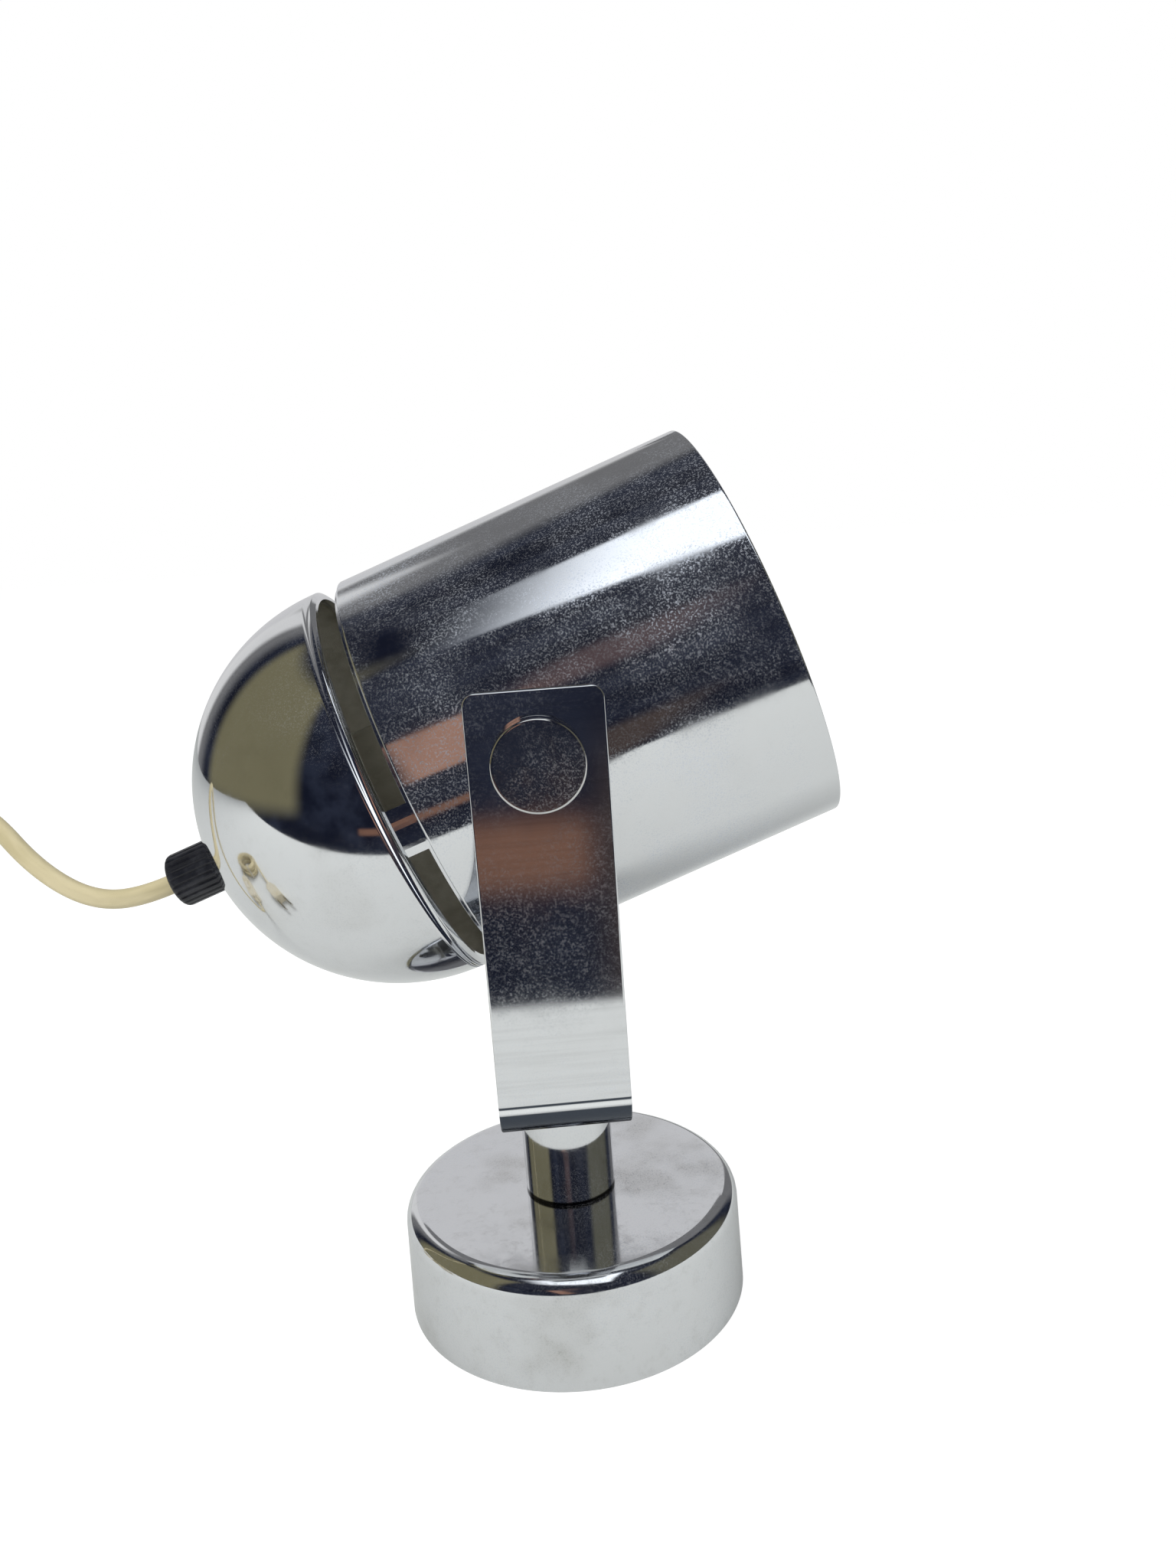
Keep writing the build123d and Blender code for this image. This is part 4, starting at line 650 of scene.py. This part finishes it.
def joined(name, pieces):
    """One object from several."""
    with bpy.context.temp_override(active_object=pieces[0], selected_editable_objects=pieces):
        bpy.ops.object.join()
    pieces[0].name = pieces[0].data.name = name
    return pieces[0]


def bridge(name, middle, material):
    """A curved bar across the slot: an arc of a ring, closed at both ends."""
    swing = middle + np.linspace(-BRIDGE_HALF, BRIDGE_HALF, BRIDGE_STEPS)
    section = np.array([(SLOT_FROM, NECK_IN), (SLOT_TO, NECK_IN), (SLOT_TO, NECK_OUT), (SLOT_FROM, NECK_OUT)])
    line = np.array(HEAD_AXIS[1])
    up, left = np.array([-math.sin(TILT), 0, math.cos(TILT)]), np.array([0, -1.0, 0])
    around = np.cos(swing)[:, None, None] * left + np.sin(swing)[:, None, None] * up
    places = np.array(HEAD_AXIS[0]) + 0.001 * (section[None, :, :1] * line + section[None, :, 1:] * around)
    last = 4 * BRIDGE_STEPS - 1
    faces = grid_faces(BRIDGE_STEPS, 4) + [[0, 1, 2, 3], [last, last - 1, last - 2, last - 3]]
    return mesh_piece(name, places.reshape(-1, 3), faces, material, shade_smooth=False)


dome_plating = plated("dome_plating", dust=0.12, smudge=0.06, stain=0.3, offset=(0.9, 0.5, 0.1))
lip = rounded([(DOME_CENTRE, DOME_OUT), *NECK_STEP], [0, 0.3, 0.15, 0.1, 0], closed=False)
dome_outline = np.vstack([lip, ball(DOME_IN, DOME_STEPS_IN), ball(DOME_OUT, DOME_STEPS_OUT)[::-1]])
ring_outline = rounded(NECK_RING, [0.1] * 4)
dull_steel = metal("dull_steel", (0.64, 0.62, 0.54, 1), (0.50, 0.48, 0.40, 1), 0.55, 0.00003)
dull_steel.node_tree.nodes["Principled BSDF"].inputs["Metallic"].default_value = 0.25
dome_shell = turned("dome_shell", dome_outline, HEAD_AXIS, dome_plating, HEAD_SIDES)
dome_rows = np.arange(len(dome_outline))
inner_rows = (dome_rows >= len(lip) - 1) & (dome_rows < len(lip) + DOME_STEPS_IN)
line_inside(dome_shell, inner_rows, dull_steel)
neck_ring = turned("neck_ring", ring_outline, HEAD_AXIS, dome_plating, HEAD_SIDES)
line_inside(neck_ring, ring_outline[:, 1] < NECK_IN + SHEET_MARGIN, dull_steel)
bridges = [bridge("bridge", place, dome_plating) for place in BRIDGE_PLACES]
dome = joined("dome", [dome_shell, neck_ring, *bridges])
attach(dome, "head")
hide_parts("dome_cap")

# Pivot knob: a flat turned button with a narrow bevel, seated 0.03 mm off the strap. Its shank goes through
# the strap, a short spacer and the shade to a nut inside, and the head turns with it.
KNOB_AXIS = ((0, 0, 0.1379), (0, -1, 0))
KNOB = [(37.16, 0), (37.16, 3.0), (49.83, 3.0), (49.83, 8.7), (53.2, 8.7), (53.2, 0)]
KNOB_ROUNDS = [0, 0.3, 0.1, 0.15, 0.5, 0]
knob_plating = plated(
    "knob_plating", dust=0.35, smudge=0.10, stain=0.5, offset=(0.2, 0.8, 0.6), tint=(0.66, 0.65, 0.64, 1)
)
knob = turned("knob", rounded(KNOB, KNOB_ROUNDS, closed=False), KNOB_AXIS, knob_plating, sides=128)
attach(knob, "head")
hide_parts("pivot_knob")

# Inside the pivot: a short chromed spacer between the strap and the shade, and a curved washer and a nut
# that hold the shank inside the shade.
dress(knob_plating, "pivot_spacer")
dress(zinc_plating, "pivot_backing", "pivot_nut")

# Cable gland: a black moulded sleeve, ribbed for the fingers, that screws onto the nipple and closes on
# the flex.
GLAND = [(-75.97, 5.0), (-75.97, 6.1), (-87.2, 6.1), (-87.2, 2.3), (-84.3, 2.3), (-84.3, 5.0)]
GLAND_ROUNDS = [0.1, 0.3, 1.2, 0.3, 0.1, 0.1]
GLAND_RIBS, GROOVE_DEPTH = 24, 0.35
GROOVE_ENDS, GROOVE_FADES = (-87.2, -76.6), (1.4, 0.5)
GLAND_OUT, GLAND_SIDE, GLAND_ROWS = 6.1, (-76.4, -85.9), 24
GLAND_CORNER_END = -76.37


def gland_ribs(along, angle):
    """Grooves of -depth * max(0, cos(ribs * angle))^1.5 between the ribs, that fade out at the two ends."""
    share = np.clip((along - GROOVE_ENDS[0]) / GROOVE_FADES[0], 0, 1)
    share = share * np.clip((GROOVE_ENDS[1] - along) / GROOVE_FADES[1], 0, 1)
    return -GROOVE_DEPTH * share * np.clip(np.cos(GLAND_RIBS * angle), 0, 1) ** 1.5


black_moulding = grained(
    "black_moulding", tints=((0.010, 0.011, 0.016, 1), (0.032, 0.034, 0.042, 1)), tones=(0.4, 0.75),
    rough=(0.3, 0.7, 0.3, 0.48), noise=(260.0, 3.0, 0.6), bump=(0.00005, 0.5),
)
outline = rounded(GLAND, GLAND_ROUNDS)
side_rows = np.column_stack([np.linspace(*GLAND_SIDE, GLAND_ROWS), np.full(GLAND_ROWS, GLAND_OUT)])
corner_end = int(np.abs(outline - (GLAND_CORNER_END, GLAND_OUT)).sum(1).argmin())
outline = np.vstack([outline[:corner_end + 1], side_rows[1:-1], outline[corner_end + 1:]])
gland = turned("gland", outline, HEAD_AXIS, black_moulding, sides=288, ripple=gland_ribs)
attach(gland, "head")
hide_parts("cable_gland")

# Flex inside the gland: the same twin flex goes straight in through the gland and the nipple, and its two
# cores go on to the terminals.
INNER_FLEX = (-0.0872, -0.0577)
axis_line = np.array(HEAD_AXIS[1])
inner_points = np.array(HEAD_AXIS[0]) + np.linspace(*INNER_FLEX, 9)[:, None] * axis_line
inner_flex = twin_cord(
    "flex_inner", inner_points, flat_start=(0, 1, 0), flat_end=(0, 1, 0), twist_end=0.0, material=cord_vinyl
)
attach(inner_flex, "head")
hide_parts("cord_inner")
core_vinyl = vinyl("core_vinyl", (0.55, 0.53, 0.46, 1), (0.44, 0.42, 0.36, 1), "Object")
dress(core_vinyl, "inner_leads", "switch_leads")

# Entry: a threaded brass tube through the dome, which carries the gland outside and the lampholder inside,
# with a washer and a thin nut to hold it.
brass = metal("brass", (0.72, 0.50, 0.20, 1), (0.50, 0.33, 0.13, 1), 0.2)
dress(brass, "entry_nipple")
dress(zinc_plating, "entry_washer", "entry_nut")

# Lampholder: a cap of pale moulded resin on the nipple and a skirt screwed to it, round a porcelain core
# that carries the brass screw shell, the contact and the two terminals.
HOLDER_CAP = [
    (-70.51, 5.0), (-70.51, 8.0), (-63.51, 8.0), (-62.01, 14.0), (-52.51, 14.0), (-52.51, 12.5),
    (-60.51, 12.5), (-60.51, 5.0),
]
HOLDER_CAP_ROUNDS = [0.2, 0.5, 0.6, 1.5, 0.35, 0.1, 0.5, 0.1]
HOLDER_SKIRT = [
    (-52.51, 12.5), (-52.51, 14.0), (-14.51, 14.0), (-14.51, 11.5), (-16.01, 11.5), (-16.01, 12.5),
]
HOLDER_SKIRT_ROUNDS = [0.1, 0.35, 0.75, 0.3, 0.1, 0.1]
resin = grained(
    "resin", tints=((0.45, 0.43, 0.36, 1), (0.37, 0.35, 0.28, 1)), tones=(0.35, 0.7),
    rough=(0.3, 0.75, 0.16, 0.34), noise=(95.0, 4.0, 0.65, (1, 1, 2)), bump=(0.00005, 1.0), ior=1.55,
)
porcelain = grained(
    "porcelain", tints=((0.74, 0.72, 0.66, 1), (0.66, 0.63, 0.55, 1)), tones=(0.35, 0.7),
    rough=(0.3, 0.7, 0.12, 0.28), noise=(160.0, 3.0, 0.6), ior=1.52,
)
for name, outline, rounds in (
    ("holder_cap", HOLDER_CAP, HOLDER_CAP_ROUNDS),
    ("holder_skirt", HOLDER_SKIRT, HOLDER_SKIRT_ROUNDS),
):
    moulding = turned(name + "_moulding", rounded(outline, rounds), HEAD_AXIS, resin, sides=96)
    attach(moulding, "head")
    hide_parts(name)
dress(porcelain, "holder_core")
dress(brass, "holder_shell", "holder_contact", "terminal_screws")

# Bulb: a round opal bulb, blown with a short neck, in a rolled screw cap with a black glass insulator and a
# soldered tip.
BULB_NECK = (-18.71, 6.8)
BULB_SHOULDER = 14.0
BULB_MIDDLE = 10.29
BULB_RADIUS = 22.5
BULB_WALL = 0.8
BULB_STEPS, BULB_NECK_STEPS = 60, 17
BULB_CAP_RUN = (-42.71, -18.71)
BULB_CAP_RADIUS, BULB_CAP_WALL, BULB_CAP_ROWS = 6.95, 0.8, 121
THREAD_PITCH = 2.8
THREAD_DEPTH = 0.4
THREAD_FREE_END, THREAD_FADES = 5.0, (1.5, 2.0)


def bulb_side(inset):
    """From the front pole round the ball to the shoulder, then down an arc to the neck.

    The arc leaves the ball along the ball's own slope t. Its radius is |c|^2 / (2 c.n), where c runs from the
    shoulder to the neck and n is square to t."""
    ball_radius, shoulder = BULB_RADIUS - inset, BULB_SHOULDER - inset
    last = math.pi - math.asin(shoulder / ball_radius)
    swing = np.linspace(0, last, BULB_STEPS)
    ball_line = np.column_stack([BULB_MIDDLE + ball_radius * np.cos(swing), ball_radius * np.sin(swing)])
    neck = np.array([BULB_NECK[0], BULB_NECK[1] - inset])
    start = ball_line[-1]
    square = np.array([math.cos(last), math.sin(last)])
    chord = neck - start
    arc_radius = chord @ chord / (2 * chord @ square)
    middle = start + arc_radius * square
    first, final = start - middle, neck - middle
    turn = math.acos(first @ final / arc_radius**2)
    share = np.linspace(0, 1, BULB_NECK_STEPS)[1:, None]
    arc = middle + (np.sin((1 - share) * turn) * first + np.sin(share * turn) * final) / math.sin(turn)
    line = np.vstack([ball_line, arc])
    line[0, 1] = 0
    return line


def rolled_thread(along, angle):
    """A round thread: -depth/2 * (1 - cos(2 pi along / pitch - angle)), that fades out at both ends."""
    share = np.clip((along - BULB_CAP_RUN[0]) / THREAD_FADES[0], 0, 1)
    share = share * np.clip((BULB_CAP_RUN[1] - THREAD_FREE_END - along) / THREAD_FADES[1], 0, 1)
    return -THREAD_DEPTH / 2 * share * (1 - np.cos(2 * math.pi * along / THREAD_PITCH - angle))


opal_glass = grained(
    "opal_glass", tints=((0.86, 0.85, 0.81, 1), (0.80, 0.79, 0.74, 1)), tones=(0.3, 0.7),
    rough=(0.3, 0.7, 0.08, 0.2), noise=(60.0, 3.0, 0.6),
)
opal_glass.node_tree.nodes["Principled BSDF"].inputs["Transmission Weight"].default_value = 0.18
bulb_outline = np.vstack([bulb_side(0), bulb_side(BULB_WALL)[::-1]])
bulb = turned("bulb", bulb_outline, HEAD_AXIS, opal_glass, sides=128)
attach(bulb, "head")
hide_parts("bulb_glass")
cap_run = np.linspace(*BULB_CAP_RUN, BULB_CAP_ROWS)
cap_outline = np.vstack([
    np.column_stack([cap_run, np.full(BULB_CAP_ROWS, BULB_CAP_RADIUS)]),
    np.column_stack([cap_run, np.full(BULB_CAP_ROWS, BULB_CAP_RADIUS - BULB_CAP_WALL)])[::-1],
])
bulb_nickel = metal("bulb_nickel", (0.64, 0.63, 0.60, 1), (0.46, 0.44, 0.40, 1), 0.24)
bulb_cap = turned("bulb_screw_cap", cap_outline, HEAD_AXIS, bulb_nickel, sides=96, ripple=rolled_thread)
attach(bulb_cap, "head")
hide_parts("bulb_cap")
black_glass = grained(
    "black_glass", tints=((0.010, 0.011, 0.014, 1), (0.030, 0.030, 0.036, 1)), tones=(0.3, 0.7),
    rough=(0.3, 0.7, 0.06, 0.2), noise=(240.0, 3.0, 0.6), ior=1.55,
)
dress(black_glass, "bulb_insulator")
dress(bulb_nickel, "bulb_tip")

# Inline switch: two cream moulded halves held by two screws from below, a rocker that tips on its pin, and
# brass contact strips inside.
MOULDING_PATCHES, MOULDING_SKIN, MOULDING_MARKS = 55.0, 900.0, 330.0


def moulded(name, colour, aged):
    """Glossy moulding that has yellowed in soft patches and gone a little dull where it is held."""
    material, tree, shader = new_finish(name, IOR=1.52)
    place = object_place(tree)
    patches = grains(tree, place, MOULDING_PATCHES, 3.0, 0.6)
    skin = grains(tree, place, MOULDING_SKIN, 2.0, 0.5)
    tone = shades(tree, ramp(tree, patches, 0.35, 0.7), colour, aged)
    marks = ramp(tree, grains(tree, place, MOULDING_MARKS, 4.0, 0.75), 0.66, 0.76, 0, 0.4)
    tree.links.new(shades(tree, marks, tone, (0.22, 0.19, 0.13, 1)), shader.inputs["Base Color"])
    tree.links.new(ramp(tree, patches, 0.25, 0.8, 0.26, 0.42), shader.inputs["Roughness"])
    bumps(tree, shader, skin, 0.00003)
    return material


cream_moulding = moulded("cream_moulding", (0.68, 0.63, 0.50, 1), (0.60, 0.54, 0.38, 1))
dress(cream_moulding, "switch_lower", "switch_upper")
rocker_moulding = moulded("rocker_moulding", (0.74, 0.71, 0.62, 1), (0.66, 0.61, 0.48, 1))
dress(rocker_moulding, "switch_rocker")
dress(brass, "switch_contacts")
dress(zinc_plating, "switch_screws")

# Coil's tie: a soft vinyl strap round the turns, on the side towards the lamp, a little greyer than the
# flex itself.
tie_vinyl = vinyl("tie_vinyl", (0.60, 0.57, 0.48, 1), (0.50, 0.46, 0.36, 1), "Object")
dress(tie_vinyl, "coil_tie")

# Plug: a cream moulded body with its own tapered relief, yellowed like the switch, and two round plated
# pins.
plug_moulding = moulded("plug_moulding", (0.66, 0.61, 0.48, 1), (0.58, 0.52, 0.37, 1))
dress(plug_moulding, "plug_body")
dress(nickel, "plug_pins")

# Room that the chrome mirrors: a dark room in front with one long window high up, an olive wall at each
# side, brown and terracotta patches low down, and grey and pale walls behind. Only mirror rays see it.
ROOM_RADIUS, ROOM_ROWS, ROOM_SIDES = 3.0, 48, 96
ROOM_MIDDLE = (0, 0, 0.12)
DEGREES = 57.2958


def paint_tree(name):
    """A new material without any nodes, and its tree."""
    material = bpy.data.materials.new(name)
    material.use_nodes = True
    material.node_tree.nodes.clear()
    return material, material.node_tree


def glow(tree, colour):
    """Let the whole material shine with one colour."""
    lit = add_node(tree, "ShaderNodeEmission", {"Color": colour, "Strength": 1.0})
    add_node(tree, "ShaderNodeOutputMaterial", {"Surface": lit.outputs[0]})


def mirror_only(piece):
    """Hide a piece from all rays but those of mirrors."""
    for ray in ("camera", "diffuse", "shadow", "transmission", "volume_scatter"):
        setattr(piece, "visible_" + ray, False)


room_paint, tree = paint_tree("room_paint")
place = add_node(tree, "ShaderNodeMapping", {
    "Vector": object_place(tree),
    "Location": tuple(-value for value in ROOM_MIDDLE),
}).outputs[0]
east, north, up = axes(
    tree, add_node(tree, "ShaderNodeVectorMath", {0: place}, operation="NORMALIZE").outputs[0]
)
south = times(tree, north, -1.0)
height = times(tree, sums(tree, "ARCSINE", up), DEGREES)
bearing = times(tree, sums(tree, "ARCTAN2", east, south), DEGREES)


def patch(*edges):
    """1 where each value lies between its low and high edge, and 0 outside them, each as soft as it says."""
    share = 1.0
    for value, low, high, soft in edges:
        share = times(tree, share, ramp(tree, value, low - soft, low + soft))
        share = times(tree, share, ramp(tree, value, high - soft, high + soft, 1, 0))
    return share


roll = times(tree, sums(tree, "ARCTAN2", up, south), DEGREES)
backward = sums(tree, "SUBTRACT", 180.0, sums(tree, "ABSOLUTE", bearing))
slant = sums(tree, "ADD", east, times(tree, roll, 0.0062))
window_foot = sums(tree, "ADD", roll, times(tree, east, 30.0))
mottle = ramp(tree, grains(tree, place, 1.6, 3.0, 0.6), 0.35, 0.7)
colour = shades(tree, mottle, (0.008, 0.010, 0.020, 1), (0.022, 0.027, 0.045, 1))
back_wall = patch((backward, -9, 50, 6), (height, -90, 58, 5))
tall_pale_wall = patch((bearing, -154, -140, 3), (height, -90, 44, 4))
low_pale_wall = patch((bearing, -190, -152, 3), (height, -90, 26, 4))
left_olive_wall = patch((bearing, -118, -52, 5), (height, -4, 54, 5))
right_olive_wall = patch((bearing, 48, 112, 8), (height, -4, 54, 6))
plum_blur = patch((east, -0.20, -0.02, 0.05), (roll, 19, 31, 3))
terracotta_box = patch((slant, -0.18, -0.05, 0.006), (roll, 2, 24, 1))
terracotta_strip = patch((east, -0.33, 0.045, 0.02), (roll, -16.7, -13.2, 1))
brown_blur = patch((east, 0.06, 0.18, 0.03), (roll, -24, -10, 3))
window = patch((window_foot, 50, 200, 1), (roll, 0, 82, 1), (east, -1, 0.29, 0.02))
window = times(tree, window, ramp(tree, east, -0.42, -0.20))
for share, paint in (
    (back_wall, (0.17, 0.17, 0.175, 1)),
    (tall_pale_wall, (0.70, 0.70, 0.70, 1)),
    (low_pale_wall, (0.70, 0.70, 0.70, 1)),
    (left_olive_wall, (0.18, 0.165, 0.10, 1)),
    (right_olive_wall, (0.11, 0.107, 0.08, 1)),
    (plum_blur, (0.085, 0.058, 0.062, 1)),
    (terracotta_box, (0.36, 0.20, 0.145, 1)),
    (terracotta_strip, (0.19, 0.10, 0.07, 1)),
    (brown_blur, (0.062, 0.047, 0.043, 1)),
    (window, (1.35, 1.42, 1.5, 1)),
):
    colour = shades(tree, share, colour, paint)
glow(tree, colour)
swing = np.linspace(0, math.pi, ROOM_ROWS)
half_circle = 1000 * ROOM_RADIUS * np.column_stack([-np.cos(swing), np.sin(swing)])
half_circle[[0, -1], 1] = 0
room = turned("room", half_circle, (ROOM_MIDDLE, (0, 0, 1)), room_paint, ROOM_SIDES)
mirror_only(room)

# Screen: a pale sheet that stands a little way behind the lamp, which the top of the base mirrors. Only
# mirror rays see it.
SCREEN_HALF, SCREEN_LOW, SCREEN_HIGH, SCREEN_BACK = 0.3, 0.10, 0.385, 0.5
screen_paint, tree = paint_tree("screen_paint")
glow(tree, (0.62, 0.62, 0.63, 1))
corners = [(x * SCREEN_HALF, SCREEN_BACK, z) for x, z in (
    (-1, SCREEN_LOW), (1, SCREEN_LOW), (1, SCREEN_HIGH), (-1, SCREEN_HIGH),
)]
screen = mesh_piece("screen", corners, [[0, 1, 2, 3]], screen_paint)
mirror_only(screen)

# Table: a plain white top. To the camera it is as white as the background but for the lamp's own soft
# shadow. In the chrome it is a pale table that ends a little in front of the lamp, and TABLE_STEP further
# out on the right.
TABLE_REACH = 12.0
TABLE_FRONT, TABLE_EDGE = -0.268, 0.008
TABLE_STEP, TABLE_STEP_RUN = 0.062, (0.03, 0.08)
TABLE_WHITE = 0.6


def mixed(tree, share, first, second):
    """The first shader changing to the second with the share."""
    return add_node(tree, "ShaderNodeMixShader", {0: share, 1: first, 2: second}).outputs[0]


table_paint, tree = paint_tree("table_paint")
rays = add_node(tree, "ShaderNodeLightPath").outputs
matt = add_node(tree, "ShaderNodeBsdfDiffuse", {"Color": (0.80, 0.80, 0.80, 1)}).outputs[0]
greyed = add_node(tree, "ShaderNodeBsdfDiffuse", {"Color": (0.67, 0.68, 0.655, 1)}).outputs[0]
white = add_node(tree, "ShaderNodeEmission", {"Color": (1, 1, 1, 1), "Strength": 1.4}).outputs[0]
clear = add_node(tree, "ShaderNodeBsdfTransparent").outputs[0]
table_x, table_y, _ = axes(tree, object_place(tree))
front = sums(tree, "ADD", table_y, ramp(tree, table_x, *TABLE_STEP_RUN, 0, TABLE_STEP))
beyond = ramp(tree, front, TABLE_FRONT - TABLE_EDGE, TABLE_FRONT, 1, 0)
plain = mixed(tree, rays["Is Camera Ray"], matt, mixed(tree, TABLE_WHITE, matt, white))
seen = mixed(tree, rays["Is Glossy Ray"], plain, mixed(tree, beyond, greyed, clear))
add_node(tree, "ShaderNodeOutputMaterial", {"Surface": seen})
corners = TABLE_REACH * np.array([(-1, -1, 0), (1, -1, 0), (1, 1, 0), (-1, 1, 0)])
table = mesh_piece("table", corners, [[0, 1, 2, 3]], table_paint)

# Light: a large soft lamp above and to the left, a fill from the right, and an even sky. The chrome
# mirrors the room and not the lamps.
world = bpy.data.worlds.new("sky")
bpy.context.scene.world = world
world.use_nodes = True
tree = world.node_tree
tree.nodes.clear()
rays = add_node(tree, "ShaderNodeLightPath").outputs
dim = add_node(tree, "ShaderNodeBackground", {"Color": (0.95, 0.97, 1.0, 1), "Strength": 0.55}).outputs[0]
plain = add_node(tree, "ShaderNodeBackground", {"Color": (1, 1, 1, 1), "Strength": 1.0}).outputs[0]
add_node(tree, "ShaderNodeOutputWorld", {"Surface": mixed(tree, rays["Is Camera Ray"], dim, plain)})


def soft_lamp(name, place, size, power):
    """A square lamp that looks at the middle of the lamp's height."""
    data = bpy.data.lights.new(name, "AREA")
    data.size, data.energy = size, power
    lamp = bpy.data.objects.new(name, data)
    lamp.location = place
    lamp.rotation_mode = "QUATERNION"
    lamp.rotation_quaternion = (Vector((0, 0, 0.1)) - Vector(place)).to_track_quat("-Z", "Y")
    lamp.visible_glossy = lamp.visible_camera = False
    bpy.context.scene.collection.objects.link(lamp)


soft_lamp("key", (-0.9, -0.9, 1.5), 1.0, 22)
soft_lamp("fill", (1.2, -0.8, 0.9), 1.2, 9)
bpy.context.scene.view_settings.view_transform = "Standard"
